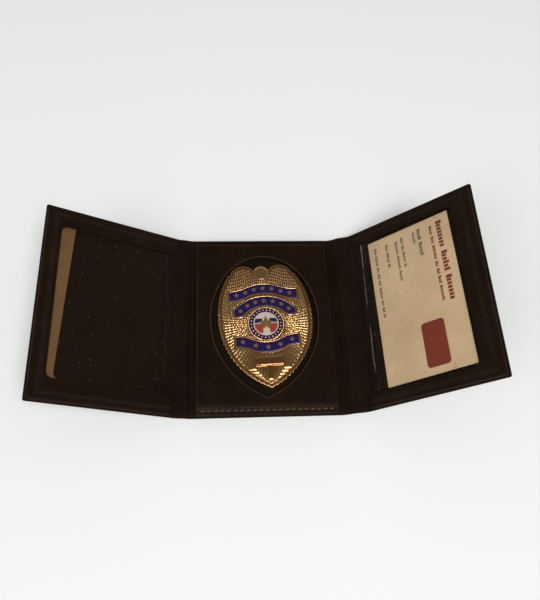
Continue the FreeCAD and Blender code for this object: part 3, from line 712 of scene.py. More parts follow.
def skiver(context):
    """The thin leather of linings, welts and pocket backs, finer in the grain and duller."""
    sizes, colours = context.scene.wallet_sizes, context.scene.wallet_colours
    return finish(
        "thin_lining_leather", leather, tuple(colours.lining), tuple(colours.worn_and_highlit), 0.7 * sizes.grain, 0.55,
        0.1 * MM,
    )


# Shell

Sheet = namedtuple("Sheet", "layer low high floor top edge corner wrinkle bulge")
SHEET_STEPS = 44  # points across a sheet
SHEET_CURL = 5  # points of the quarter circle at its edges
SHEET_WEAR = 0.12  # most that its edges are worn
WORN_SHARE = 0.025  # share of its width over which that fades
WELT_EDGE, WELT_CORNER = 0.15 * MM, 0.6 * MM
THIN_EDGE = 0.25 * MM  # rounding of backing leathers


def shell_points(fold, stations, sheet, end=None):
    """A stretch of the shell: at each station along it a closed section from low to high with half-round
    edges. Near an outer end the sides draw in by a quarter circle and the thickness closes by another."""
    turn = np.linspace(0, np.pi / 2, SHEET_CURL)
    width = np.linspace(0, 1, SHEET_STEPS)[1:-1]
    half, edge = (sheet.top - sheet.floor) / 2, sheet.edge
    draw, close = np.zeros_like(stations), np.ones_like(stations)
    if end is not None:
        past = np.clip((stations - (end - sheet.corner)) / sheet.corner, 0, 1)
        draw = sheet.corner * (1 - np.sqrt(1 - past**2))
        close = np.sqrt(1 - np.clip((stations - (end - edge)) / edge, 0, 1) ** 2)
    rim_in, rim_out = edge * (1 - np.sin(turn)), half * np.cos(turn)
    inward, flat = edge * (1 - 2 * width), np.full(len(width), half)
    share = np.concatenate((
        np.zeros(SHEET_CURL), width, np.ones(2 * SHEET_CURL - 1), width[::-1], np.zeros(SHEET_CURL - 1),
    ))
    inset = np.concatenate((rim_in[::-1], inward, -rim_in, -rim_in[::-1][1:], inward[::-1], rim_in[:-1]))
    out = np.concatenate((rim_out[::-1], flat, rim_out, -rim_out[::-1][1:], -flat, -rim_out[:-1]))
    bottom, height = sheet.low + draw[:, None], sheet.high - sheet.low - 2 * draw[:, None]
    tall = bottom + height * share + inset
    along = np.broadcast_to(stations[:, None], tall.shape)
    rise = (sheet.top + sheet.floor) / 2 + out * close[:, None]
    from_side = np.minimum(share, 1 - share)
    wear = SHEET_WEAR * np.maximum(1 - from_side / WORN_SHARE, (1 - close)[:, None])
    if fold is None:
        return np.stack((along, tall, CENTER.origin[2] + rise), axis=-1), wear
    x, z = bend(fold, along, rise + wrinkles(fold, along, tall, sheet.wrinkle, sheet.bulge))
    return np.stack((x, tall, z), axis=-1), wear


def add_shell(sheet, material):
    """One layer of the shell as five pieces that meet in the middle of each spine and just inside each fold:
    the center stays flat, and each of the others bends across its own fold."""
    layer = sheet.layer
    stations = np.linspace(FOLD_BACK - FOLDS["left"].half, FOLDS["right"].half - FOLD_BACK, 40)
    points, wear = shell_points(None, stations, sheet)
    piece = add_loops(f"center_{layer}_leather", points, material, marks={"wear": wear})
    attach(piece, "center")
    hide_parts("center_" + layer)
    for side, fold in FOLDS.items():
        middle, outer = fold.half + fold.spine / 2, fold.half + fold.spine
        stations = np.linspace(fold.half - FOLD_BACK, middle, 34)
        points, wear = shell_points(fold, stations, sheet)
        crease = add_loops(f"{side}_fold_{layer}_leather", points, material, marks={"wear": wear})
        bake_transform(crease)
        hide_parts(f"{side}_spine_{layer}")
        end = outer + extent(f"{side}_{layer}", FLAPS[side])[1][0]
        stations = np.concatenate((
            np.linspace(middle, outer + FOLD_BACK, 34),
            np.linspace(outer + FOLD_BACK, end - sheet.corner, 36)[1:],
            end - sheet.corner + sheet.corner * np.sin(np.linspace(0, np.pi / 2, 14))[1:],
        ))
        points, wear = shell_points(fold, stations, sheet, end)
        flap = add_loops(f"{side}_flap_{layer}_leather", points, material, marks={"wear": wear})
        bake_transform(flap)
        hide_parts(f"{side}_{layer}")
        if layer == "cover":
            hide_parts(side + "_inner_crease")
            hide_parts(side + "_outer_crease")


class WALLET_OT_shell(bpy.types.Operator):
    """Cover, welt and lining: one bent sheet each, cut where the folds turn"""

    bl_idname = "wallet.shell"
    bl_label = "Leather shell"

    def execute(self, context):
        sizes, thin = context.scene.wallet_sizes, skiver(context)
        corner, lining_edge = sizes.outer_corner, 0.5 * sizes.edge
        # Each layer: its edge and corner, the depth of its wrinkles, and its swelling between the folds
        layers = (
            ("cover", sizes.edge, corner, 0.04 * MM, 0.0, cowhide(context), "cover_leather"),
            ("welt", WELT_EDGE, WELT_CORNER, 0.0, 0.0, thin, "lining_leather"),
            ("lining", lining_edge, corner, 0.2 * MM, 0.7 * MM, thin, "lining_leather"),
        )
        for layer, *form, material, slot in layers:
            low, high = extent("center_" + layer, CENTER)
            add_shell(Sheet(layer, low[1], high[1], low[2], high[2], *form), material)
        self.end_welts(thin)
        return {"FINISHED"}

    def end_welts(self, thin):
        """The upright part of the welt, along each flap's outer end above the strip at the bottom."""
        low, high = extent("center_welt", CENTER)
        width = high[1] - low[1]
        for side, panel in FLAPS.items():
            low, high = extent(side + "_welt", panel)
            outline = rounded_rectangle((high[0] - width, low[1] + width), high, WELT_CORNER)
            section = plate_section(low[2], high[2], WELT_EDGE)
            piece = add_plate(side + "_end_welt", panel, outline, section, thin)
            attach(piece, panel.body)


# Badge panel

FACE_SWELL = 0.1 * MM  # height of the face leather's unevenness
HEM_CREASE, RIM_BEAD, SEAM_PUCKER = 0.3 * MM, 0.12 * MM, 0.14 * MM  # depth of the first, height of the others
# Rows of points in from the face's outer edge, over the seam, and from the recess, over its bead
SEAM_ROWS = np.arange(0.7, 8.4, 0.3) * MM
RIM_ROWS = np.array((2.2, 1.6, 1.2, 1.0, 0.85, 0.75, 0.65, 0.55, 0.45)) * MM
PAD_EDGE, PAD_PLAY = 0.2 * MM, 0.15 * MM  # the felt's rounding and outer inset, and its inset at the recess
PAD_GAP = 0.02 * MM  # between the felt and the face above it


def seam_pull(sizes, tall, low):
    """How far the seam pulls the badge panel down: the eased share of the press, from nothing at the seam's
    reach to all of it at the edge."""
    return sizes.seam_press * ease(1 - (tall - low) / sizes.seam_reach)


class WALLET_OT_badge_panel(bpy.types.Operator):
    """Filler, backing, felt pad and the face leather with its drop-shaped recess"""

    bl_idname = "wallet.badge_panel"
    bl_label = "Badge panel"

    def execute(self, context):
        sizes = context.scene.wallet_sizes
        low, high = extent("badge_panel", CENTER)
        lip = sizes.turned_in
        drop = drop_outline(sizes.recess_half, sizes.recess_top, sizes.recess_tip)
        mouth = drop_outline(sizes.recess_half - lip, sizes.recess_top - lip, sizes.recess_tip - lip)
        rectangle = rounded_rectangle(low, high, sizes.panel_corner) - RECESS_SHIFT
        corners = np.arctan2(rectangle[:, 1], rectangle[:, 0])
        angles = np.unique(np.concatenate((np.linspace(-np.pi, np.pi, 361)[:-1], corners, [-np.pi / 2])))
        rays = np.stack((np.cos(angles), np.sin(angles)), 1)
        outer, rim, wall = (
            rays * radius_at(outline, angles)[:, None] + RECESS_SHIFT for outline in (rectangle, mouth, drop)
        )
        self.face(context, outer, rim, low, high)
        self.pad(context, outer, wall, low[1])
        low, high = extent("badge_backing", CENTER)
        backing = add_plate(
            "badge_recess_floor", CENTER, rounded_rectangle(low, high, sizes.panel_corner),
            plate_section(low[2], high[2], THIN_EDGE), skiver(context),
        )
        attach(backing, "center")
        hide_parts("badge_backing")
        black = to_linear("#1A1511")
        board = finish("black_filler_board", plain_stock, black, 0.85, 0.6 * MM, 0.1 * MM, 0.1)
        finish_node("filler_board", board)
        return {"FINISHED"}

    def face(self, context, outer, inner, low, high):
        """The face leather: a strip from the panel's edge to the recess, pulled down at the seam, creased along
        its hem and beaded along the recess. Its edges and its cut rim are rubbed paler. Painted highlights
        make it paler along its left edge, on the bead, on the hem's crease and on the puckers by the
        stitches, and it is paler in a band round the seam."""
        sizes = context.scene.wallet_sizes
        section = strip_section(low[2], high[2], sizes.edge, sizes.rim, SEAM_ROWS, RIM_ROWS, middle=8)
        share, inset, level = section.T
        across, tall, left = band(outer, inner, section)
        above_edge, below_top = tall - low[1], high[1] - tall
        crease = bell(below_top - sizes.hem, 0.3 * MM)
        bead = bell(left - 0.6 * MM, 0.2 * MM)
        groove = bell(above_edge - sizes.seam_inset, 0.4 * MM)
        beat = 0.5 + 0.5 * np.cos(2 * np.pi * across / sizes.stitch_pitch)
        pucker = beat * bell(above_edge - sizes.seam_inset - 1.4 * MM, 0.5 * MM)
        marks = RIM_BEAD * bead + SEAM_PUCKER * pucker - HEM_CREASE * crease - sizes.groove * groove
        lifted = (level - low[2]) / (high[2] - low[2])
        swell = unevenness(across, tall, FACE_SWELL) - FACE_SWELL
        out = level + lifted * (swell + marks) - seam_pull(sizes, tall, low[1])
        at_edge = (share == 0) & (inset < sizes.edge) & (level > low[2])
        at_rim = (share == 1) & (inset > -sizes.rim) & (level > high[2] - 0.4 * sizes.rim)
        # Painted highlight: the outer edge is paler towards the left, and so are the bead, the hem crease and
        # the seam's puckers; the band round the seam is paler too
        edge_wear_and_highlight = 0.3 + 0.6 * ease((-across - 0.7 * high[0]) / (0.2 * high[0]))
        paler_at_seam = 0.5 * ease(1 - np.abs(above_edge - 2.6 * MM) / (2.4 * MM))
        wear = np.where(at_edge, edge_wear_and_highlight, 0.0) + np.where(at_rim, 0.4, 0.0)
        wear = wear + lifted * (1.6 * bead + 0.7 * crease + 0.6 * pucker + paler_at_seam)
        piece = add_loops(
            "badge_panel_face", placed(CENTER, across, tall, out), cowhide(context),
            closed=True, marks={"wear": wear},
        )
        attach(piece, "center")
        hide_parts("badge_panel")

    def pad(self, context, outer, inner, foot):
        """The felt under the face: the same strip, thinned towards the seam as the face comes down on it."""
        sizes = context.scene.wallet_sizes
        low, high = extent("badge_pad", CENTER)
        section = strip_section(low[2], high[2], PAD_EDGE, PAD_EDGE, np.arange(1, 8) * MM, (), middle=4)
        section[:, 1] += np.where(section[:, 0] == 0, PAD_EDGE, -PAD_PLAY * (section[:, 0] == 1))
        across, tall, _ = band(outer, inner, section)
        squeeze = 1 - (seam_pull(sizes, tall, foot) + PAD_GAP) / (high[2] - low[2])
        felt = finish("pressed_felt", plain_stock, to_linear("#15100D"), 0.9, 0.8 * MM, 0.2 * MM, 0.05)
        points = placed(CENTER, across, tall, low[2] + (section[:, 2] - low[2]) * squeeze)
        piece = add_loops("badge_felt_pad", points, felt, closed=True)
        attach(piece, "center")
        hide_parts("badge_pad")


# Window pockets

WINDOW_RISE = {"left": -1.0 * MM, "right": -1.4 * MM}  # from the flap's middle line to the window's
WELD_GLINT = {"left": 0.05, "right": 0.22}  # share of light that the vinyl's welded edge mirrors: a painted glint, stronger on the right
WELD_WIDTH = 0.7 * MM
CURL_HEIGHT, CURL_REACH = 0.8 * MM, 5 * MM  # of the vinyl along its free edge
HELD_END, HELD_FADE = 9 * MM, 14 * MM  # stretch at each end where the rails hold it, and where that fades
FRAME_SWELL = 0.1 * MM  # height of the frame leather's unevenness
# Rows of points in from a sewn frame's outer edge, closest round its stitches, and from its window
FRAME_ROWS = np.array((1.0, 2.0, 2.6, 2.9, 3.2, 3.5, 3.8, 4.2, 4.5, 4.8, 5.1, 5.5)) * MM
WINDOW_ROWS = np.array((0.9, 0.6)) * MM


def window_of(sizes, side):
    """Reach, low edge and high edge of a window, from the frame's own edges and its rails and bands."""
    low, high = extent(side + "_frame", FLAPS[side])
    rail = getattr(sizes, side + "_rail")
    half = (high[1] - low[1]) / 2 - getattr(sizes, side + "_band")
    return high[0] - rail, WINDOW_RISE[side] - half, WINDOW_RISE[side] + half


def row_distance(across, tall, far, foot, head):
    """Distance from a point to the nearest of three rows of stitches: along foot, outer end and head."""
    beyond = np.maximum(across - far, 0)
    along = np.minimum(np.abs(tall - foot), np.abs(tall - head))
    outside = np.maximum(np.maximum(foot - tall, tall - head), 0)
    return np.minimum(np.hypot(along, beyond), np.hypot(across - far, outside))


def add_rails(context, side, layer, name, play, edge, sewn):
    """A C-shaped leather layer: a strip's section carried between the panel's outline and the window's. A sewn
    layer sinks along its rows of stitches, gathers dust there and is rubbed at its edges."""
    sizes, panel = context.scene.wallet_sizes, FLAPS[side]
    low, high = extent(f"{side}_{layer}", panel)
    reach, bottom, top = window_of(sizes, side)
    outer = rail_path(low[0], high[0], low[1], high[1], sizes.outer_corner)
    inner = rail_path(low[0], reach + play, bottom - play, top + play, sizes.window_corner)
    rows = (FRAME_ROWS, WINDOW_ROWS) if sewn else ((), ())
    section = strip_section(low[2], high[2], edge, edge, *rows, middle=3)
    share, inset, level = section.T
    across, tall, _ = band(outer, inner, section)
    out = np.broadcast_to(level, across.shape)
    wear = np.zeros(len(section))
    if sewn:
        far, foot, head = high[0] - sizes.rail_inset, low[1] + sizes.flap_inset, high[1] - sizes.flap_inset
        off_row = row_distance(across, tall, far, foot, head)
        groove = sizes.groove * bell(off_row, 0.45 * MM)
        lifted = (level - low[2]) / (high[2] - low[2])
        out = out + lifted * (unevenness(across, tall, FRAME_SWELL) - FRAME_SWELL - groove)
        at_edge = (share == 0) & (inset < edge) & (level > low[2])
        at_rim = (share == 1) & (inset > -edge) & (level > low[2])
        wear = 0.1 * at_edge + 0.12 * at_rim + 0.5 * lifted * bell(off_row, 0.9 * MM)
    piece = add_loops(
        name, placed(panel, across, tall, out), cowhide(context),
        marks={"wear": np.broadcast_to(wear, across.shape)},
    )
    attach(piece, panel.body)
    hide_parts(f"{side}_{layer}")


def free_edge_curl(across, tall, low, high):
    """How far the vinyl stands up along its free edge: by the squared eased share of its reach, with a slow
    wave, and not under the rails at both ends."""
    near_edge = ease(1 - (across - low[0]) / CURL_REACH) ** 2
    held = ease((tall - low[1] - HELD_END) / HELD_FADE) * ease((high[1] - HELD_END - tall) / HELD_FADE)
    return CURL_HEIGHT * near_edge * held * (0.8 + 0.2 * np.sin(tall / (6 * MM)))


def weld_glint(across, tall, start, shine):
    """A painted glint: share of light that the welded free edge mirrors, its shine at the start, eased out over
    its width.
    """
    return shine * ease(1 - (across - start) / WELD_WIDTH)


class WALLET_OT_window_pockets(bpy.types.Operator):
    """Pocket back, seam spacer, clear window and leather frame of both flaps"""

    bl_idname = "wallet.window_pockets"
    bl_label = "Window pockets"

    def execute(self, context):
        sizes = context.scene.wallet_sizes
        vinyl = finish("calendered_clear_vinyl", clear_vinyl)
        for side, panel in FLAPS.items():
            low, high = extent(side + "_pocket_back", panel)
            back = add_plate(
                side + "_pocket_back_leather", panel, rounded_rectangle(low, high, sizes.outer_corner),
                plate_section(low[2], high[2], THIN_EDGE), skiver(context),
            )
            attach(back, panel.body)
            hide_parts(side + "_pocket_back")
            spacer, window_frame = side + "_seam_spacer", side + "_window_frame"
            add_rails(context, side, "spacer", spacer, sizes.pocket_play, 0.2 * MM, False)
            add_rails(context, side, "frame", window_frame, 0.0, sizes.edge, True)
            low, high = extent(side + "_window", panel)
            film = add_plate(
                side + "_vinyl", panel, rounded_rectangle(low, high, 0.4 * MM, side=60),
                plate_section(low[2] + 0.05 * MM, high[2] - 0.02 * MM, 0.1 * MM, 40, 40), vinyl,
                partial(free_edge_curl, low=low, high=high),
                {"sealed": partial(weld_glint, start=low[0], shine=WELD_GLINT[side])},
            )
            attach(film, panel.body)
            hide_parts(side + "_window")
        return {"FINISHED"}


# Cards

Card = namedtuple("Card", "name side body width height corner turn slot")
# Width, height and corner radius of each card in millimetres, and its turn in degrees
CARDS = {
    "insert_sheet": Card("tan_sheet", "left", "left_sheet", 54.0, 88.4, 3.5, 0.0, "sheet_paper"),
    "insert_card": Card("dark_insert", "left", "left_card", 54.0, 87.6, 3.2, 2.8, "insert_plastic"),
    "id_card": Card("pale_card", "right", "right_card", 50.8, 88.9, 0.3, 1.0, "card_paper"),
}
CARD_EDGE = 0.06 * MM
# Each line of print: across, top end, length along the card and size, in millimetres from the card's middle
PRINT_LINES = {
    "red_print": ((19.5, 40.5, 50.0, 3.4), (14.4, 39.0, 46.0, 1.8)),
    "grey_print": (
        (7.2, 40.5, 18.0, 2.3), (3.9, 39.5, 7.0, 1.6), (-3.6, 39.5, 19.0, 1.7),
        (-7.3, 38.5, 26.0, 1.7), (-13.6, 39.0, 15.0, 1.7), (-21.1, 39.5, 45.0, 1.7),
    ),
}
INK_SUNK, INK_PROUD = 0.01 * MM, 0.02 * MM
BAR_PLACE, BAR_HALF, BAR_CORNER = np.array((5.5, -28.0)) * MM, np.array((6.6, 12.5)) * MM, 2.0 * MM
BLOCK_CORNERS = np.array(((0.0, 0.0), (1.0, 0.0), (1.0, -1.0), (0.0, -1.0)))
BLOCK_FACES = ((0, 1, 2, 3), (4, 5, 6, 7), (0, 1, 5, 4), (1, 2, 6, 5), (2, 3, 7, 6), (3, 0, 4, 7))


def middle_of(node, panel):
    """Middle of a solid in a panel's frame, across and tall."""
    low, high = extent(node, panel)
    return (low[:2] + high[:2]) / 2


def letter_blocks(draw, across, start, run, size):
    """Small blocks that stand for letters: a steady pitch with a gap after each few, the first after a gap and
    some others taller. Each row gives a block's foot, its top end, its height and its width."""
    pitch = 0.62 * size
    gaps = np.cumsum(draw.integers(4, 10, 20)) - 1
    place = np.setdiff1d(np.arange(int(run / pitch)), gaps)
    first = np.isin(place - 1, gaps) | (place == 0)
    height = np.where(first | (draw.random(len(place)) < 0.2), 1.0, 0.74) * size
    width = np.where(first, 0.54, 0.46) * size
    return np.stack((np.full(len(place), across - size / 2), start - pitch * place, height, width), 1)


class WALLET_OT_cards(bpy.types.Operator):
    """Tan sheet and dark insert on the left, pale printed card on the right"""

    bl_idname = "wallet.cards"
    bl_label = "Cards"

    def execute(self, context):
        colours = context.scene.wallet_colours
        sheet, insert, pale = tuple(colours.sheet), tuple(colours.insert), tuple(colours.card)
        stocks = {
            "insert_sheet": finish("tan_kraft_paper", plain_stock, sheet, 0.75, 0.7 * MM, 0.03 * MM),
            "insert_card": finish("calendered_insert", plain_stock, insert, 0.5, 0.9 * MM, 0.05 * MM, 0.05),
            "id_card": finish("uncoated_card_stock", plain_stock, pale, 0.7, 0.6 * MM, 0.02 * MM),
        }
        for node, card in CARDS.items():
            panel = FLAPS[card.side]
            low, high = extent(node, panel)
            half = np.array((card.width, card.height)) * MM / 2
            outline = rounded_rectangle(-half, half, card.corner * MM)
            outline = turned(outline, middle_of(node, panel), np.radians(card.turn))
            section = plate_section(low[2], high[2], CARD_EDGE)
            piece = add_plate(card.name, panel, outline, section, stocks[node])
            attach(piece, card.body)
            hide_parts(node)
        self.print_card(colours, FLAPS["right"])
        return {"FINISHED"}

    def print_card(self, colours, panel):
        """Lines of blank blocks in place of print, along the card's long way, and one bar, as a thin layer of
        ink that lies turned as the card does."""
        face = extent("id_card", panel)[1][2]
        floor, top = face - INK_SUNK, face + INK_PROUD
        middle, turn = middle_of("id_card", panel), np.radians(CARDS["id_card"].turn)
        red, grey = tuple(colours.print_red), tuple(colours.print_grey)
        inks = {
            "red_print": finish("brick_red_ink", plain_stock, red, 0.6, 0.5 * MM, 0.01 * MM),
            "grey_print": finish("grey_ink", plain_stock, grey, 0.6, 0.5 * MM, 0.01 * MM),
        }
        draw = np.random.default_rng(7)
        for name, rows in PRINT_LINES.items():
            blocks = np.concatenate([letter_blocks(draw, *row) for row in rows]) * MM
            flat = blocks[:, None, :2] + BLOCK_CORNERS * blocks[:, None, 2:]
            flat = turned(flat.reshape(-1, 2), middle, turn).reshape(flat.shape)
            layers = [placed(panel, flat[..., 0], flat[..., 1], height) for height in (floor, top)]
            points = np.concatenate(layers, axis=1)
            faces = repeated(BLOCK_FACES, len(blocks), 2 * len(BLOCK_CORNERS))
            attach(add_piece(name, points, faces, inks[name]), "right_card")
        bar = turned(rounded_rectangle(-BAR_HALF, BAR_HALF, BAR_CORNER), turned(BAR_PLACE, middle, turn), turn)
        section = plate_section(floor, top, 0.005 * MM, 2)
        block = add_plate("bar_print", panel, bar, section, inks["red_print"])
        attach(block, "right_card")


# Badge

BADGE_TURN = np.radians(3)
BADGE = Panel(
    "center", CENTER.origin + np.array((0.8, 0.4, 2.5)) * MM,
    np.array((np.cos(BADGE_TURN), np.sin(BADGE_TURN), 0.0)), CENTER.out,
)
BADGE_TALL = np.array((-np.sin(BADGE_TURN), np.cos(BADGE_TURN), 0.0))
THICK, DOME = 3.4 * MM, 378 * MM  # the plate's thickness in its middle, and the radius of its domed face
BANNERS = ("upper_banner", "middle_banner", "lower_banner")
BANNER_WIDTH = 5.5 * MM
BANNER_STARS = (7, 7, 5)  # number of stars on each banner
# Each ribbon: half its length, height of its top edge in the middle, and its fall to the level ends
RIBBONS = {
    "upper_banner": (19.4 * MM, 21.6 * MM, 4.0 * MM),
    "lower_banner": (17.4 * MM, -15.1 * MM, -4.2 * MM),
}
ARCH_RADIUS, ARCH_CREST, ARCH_SPAN = 22.8 * MM, 13.4 * MM, np.radians(110)
PROUD = 0.15 * MM  # height of the enamel's edges above the dome
SEAL, SEAL_RADIUS = np.array((0.0, -3.6)) * MM, 9.5 * MM
TABLET = np.array((8.0, 2.6, 26.0)) * MM  # half width, half height and depth below the widest line
SHOULDER_LEAN = 7.5 * MM  # how far each side leans in on its way up to the shoulder
# Discs that bulge out above the shoulder: across, tall and radius in millimetres
LOBES = ((11.0, 27.2, 8.0), (-11.0, 27.2, 8.0), (0.0, 30.5, 4.2))


def on_badge(across, tall, out):
    """Points of the badge's own frame, turned with it in the recess, as points in space."""
    across, tall, out = np.broadcast_arrays(across, tall, out)
    steps = across[..., None] * BADGE.across + tall[..., None] * BADGE_TALL + out[..., None] * BADGE.out
    return BADGE.origin + steps


def dome(across, tall):
    """Height of the badge's domed face above its back: a sphere's."""
    return THICK - DOME + np.sqrt(DOME**2 - across**2 - tall**2)


def ribbon_top(name, across):
    """Height of a ribbon's top edge: an arc over its middle half, and arcs of the same radius that level off
    towards its ends."""
    half, top, fall = RIBBONS[name]
    radius = (half**2 + fall**2) / (4 * abs(fall))
    aside = np.minimum(np.abs(across), half)
    near = radius - np.sqrt(radius**2 - np.minimum(aside, half / 2) ** 2)
    far = abs(fall) - radius + np.sqrt(radius**2 - np.minimum(half - aside, half / 2) ** 2)
    return top - np.sign(fall) * np.where(aside < half / 2, near, far)


def banner_spot(name, along, aside):
    """A place on a banner: along it from end to end and across it from edge to edge, each from -1 to 1."""
    if name in RIBBONS:
        across = along * RIBBONS[name][0] + 0 * aside
        return across, ribbon_top(name, across) - (1 - aside) * BANNER_WIDTH / 2
    reach = ARCH_RADIUS - (1 - aside) * BANNER_WIDTH / 2
    angle = along * ARCH_SPAN / 2
    return reach * np.sin(angle), ARCH_CREST - ARCH_RADIUS + reach * np.cos(angle)


def banner_distance(name, across, tall):
    """Distance outside a banner's outline, below zero inside it: the arch has round ends."""
    half = BANNER_WIDTH / 2
    if name in RIBBONS:
        aside = np.abs(ribbon_top(name, across) - half - tall)
        return np.maximum(aside - half, np.abs(across) - RIBBONS[name][0])
    rise = tall - ARCH_CREST + ARCH_RADIUS
    aside = np.abs(np.hypot(across, rise) - ARCH_RADIUS + half)
    past = np.maximum((np.abs(np.arctan2(across, rise)) - ARCH_SPAN / 2) * ARCH_RADIUS + half, 0)
    return np.hypot(past, aside) - half


def from_seal(across, tall):
    """Distance and angle from the seal's middle."""
    return np.hypot(across - SEAL[0], tall - SEAL[1]), np.arctan2(tall - SEAL[1], across - SEAL[0])


def disc_radius(angles, centre, radius):
    """Where rays from the badge's middle leave a disc: the far root of the circle's equation, or nothing."""
    along = centre[0] * np.cos(angles) + centre[1] * np.sin(angles)
    inside = radius**2 - centre[0] ** 2 - centre[1] ** 2 + along**2
    return np.where((inside > 0) & (along > 0), along + np.sqrt(np.maximum(inside, 0)), 0)


def badge_radius(sizes, angles):
    """The badge's outline by angle: the drop's lower arcs, sides that lean in to flat shoulders, two lobes and
    a crown, whichever reaches furthest."""
    half, tip, shoulder = sizes.badge_half, sizes.badge_tip, sizes.badge_shoulder
    lower = (tip**2 + half**2) / (2 * half)
    sweep = np.linspace(-np.arcsin(tip / lower), 0, 200)
    upper = (shoulder**2 + SHOULDER_LEAN**2) / (2 * SHOULDER_LEAN)
    lift = np.linspace(0, np.arcsin(shoulder / upper), 80)[1:]
    flat = np.linspace(half - SHOULDER_LEAN, 0, 40)[1:]
    right = np.concatenate((
        np.stack((half - lower + lower * np.cos(sweep), lower * np.sin(sweep)), 1),
        np.stack((half - upper + upper * np.cos(lift), upper * np.sin(lift)), 1),
        np.stack((flat, np.full_like(flat, shoulder)), 1),
    ))
    outline = np.concatenate((right, (right * (-1, 1))[::-1][1:-1]))
    reach = radius_at(outline, angles)
    for across, tall, radius in LOBES:
        reach = np.maximum(reach, disc_radius(angles, (across * MM, tall * MM), radius * MM))
    return reach


# Heights that the die raises above the dome
LEAF_HEIGHT, LEAF_WAVE, EDGE_HEIGHT = 0.15 * MM, 0.13 * MM, 0.16 * MM
BEAD_HEIGHT, MATTING_HEIGHT, SPRAY_HEIGHT = 0.42 * MM, 0.16 * MM, 0.45 * MM
CROWN_HEIGHT, TABLET_HEIGHT, SCROLL_HEIGHT, STEM_HEIGHT = 0.45 * MM, 0.55 * MM, 0.35 * MM, 0.5 * MM
BANNER_RIM_HEIGHT, ROPE_HEIGHT, ROPE_WAVE = 0.18 * MM, 0.28 * MM, 0.1 * MM
BED_DEPTH = 0.5 * MM  # of the hollows under the enamel
BRIGHT_HEIGHT = 0.35 * MM  # relief as high as this gets all of the painted highlight
BANNER_RIM, SEAL_RIM = 0.45 * MM, 0.5 * MM  # from an inlay's outline to the middle of its rim
INLAY_CLEAR = 1.0 * MM  # round each inlay, without relief
# From the badge's edge: the border's inner side, and the middle line and half width of what it carries
BORDER, LEAF_LINE, LEAF_HALF, EDGE_LINE, EDGE_HALF = np.array((2.4, 1.1, 1.3, 0.6, 0.7)) * MM
LEAF_TOP, LEAF_FADE = 4 * MM, 6 * MM  # above the widest line, where the plain edge takes over
ROPE_TURNS = 60  # twists of the rope round the seal
BEAD_PITCH, BEAD_ROW = 1.25 * MM, 2.1 * MM  # from bead to bead, and from row to row
BEAD_START = 1.9 * MM  # from the upper ribbon to the first row
RAY_SLOPE = 0.011  # height of the rays by their distance from the seal's middle
SPRAY_LEAN, SPRAY_FOOT = np.radians(52), 40.5 * MM  # the sprays' slope, and their foot below the widest line
SPRAY_PITCH, SPRAY_REACH = 2.2 * MM, 4.0 * MM  # from leaf to leaf, and from the stem to their ends
SPRAY_TOP = 29.0 * MM  # the sprays' upper end, below the widest line
CROWN_PLACE, CROWN_RADIUS = 29.5 * MM, 4.6 * MM  # its middle above the widest line
SCROLL_PLACE, SCROLL_HALF = -6.3 * MM, 1.5 * MM  # across the tablet, and half its width
STEM_HALF, STEM_END = 1.7 * MM, 37 * MM  # half its width, and its end below the widest line


def ridge(distance, middle, half):
    """A rounded ridge: the eased rise to 1 at its middle line and back to 0 half a width away."""
    return ease(1 - np.abs(distance - middle) / half)


def leaf_border(sizes, tall, inside, walk):
    """Slanting leaves along the lower border, one sine wave each, and a plain raised edge further up. Walk is
    the way along the edge from the tip, on either side."""
    wave = np.sin(2 * np.pi * (walk - inside) / sizes.leaf_pitch)
    leaves = ridge(inside, LEAF_LINE, LEAF_HALF) * (LEAF_HEIGHT + LEAF_WAVE * wave)
    plain = EDGE_HEIGHT * ridge(inside, EDGE_LINE, EDGE_HALF)
    upper = ease((tall - LEAF_TOP) / LEAF_FADE)
    return leaves * (1 - upper) + plain * upper


def beaded_rows(across, tall):
    """Rows of round beads above the upper ribbon and in line with it: a squared cosine across the rows times
    another along them. Also the share to which a point belongs to them."""
    out = tall - ribbon_top("upper_banner", across)
    row = np.cos(np.pi * (out - BEAD_START) / BEAD_ROW) ** 2
    bead = np.cos(np.pi * across / BEAD_PITCH) ** 2
    return BEAD_HEIGHT * row * (0.1 + 0.9 * bead), ease((out - 0.4 * MM) / (1.2 * MM))


def stipple(across, tall):
    """Fine matting of the ground between the figures: two crossed waves of about 1 mm, each bent by the
    other."""
    first = np.sin(across / (0.155 * MM) + 1.7 * np.sin(tall / (0.43 * MM)))
    second = np.sin(tall / (0.17 * MM) + 1.3 * np.sin(across / (0.37 * MM)))
    return MATTING_HEIGHT * (0.5 + 0.5 * first * second)


def seal_rays(sizes, across, tall):
    """Rays on both sides of the seal: a triangle wave of the angle, taller further out and strongest level with
    the seal, over the matted ground."""
    far, angle = from_seal(across, tall)
    fan = 1 - np.abs((angle * sizes.rays / (2 * np.pi)) % 1 - 0.5) * 2
    level = ease((np.abs(np.cos(angle)) - 0.35) / 0.35)
    return RAY_SLOPE * far * fan * level + stipple(across, tall)


def leaf_sprays(across, tall):
    """Two sprays up from the tip, each along its own leaning stem, with leaves on both sides of it: a squared
    cosine along the stem that slants away from it, faded out at the leaves' reach."""
    aside, rise = np.abs(across), tall + SPRAY_FOOT
    along = aside * np.cos(SPRAY_LEAN) + rise * np.sin(SPRAY_LEAN)
    off = np.abs(rise * np.cos(SPRAY_LEAN) - aside * np.sin(SPRAY_LEAN))
    leaves = np.cos(np.pi * (along - 0.8 * off) / SPRAY_PITCH) ** 2
    return SPRAY_HEIGHT * leaves * ease(1.2 - off / SPRAY_REACH)


def sunk(height, away, rim, lift):
    """Clears the relief round an inlay, raises its rim and sinks its bed. Away is the distance outside it."""
    height = height * ease((away - INLAY_CLEAR) / (0.4 * MM)) + lift * ridge(away, rim, 1.4 * rim)
    return height - BED_DEPTH * ease((0.1 * MM - away) / (0.3 * MM))


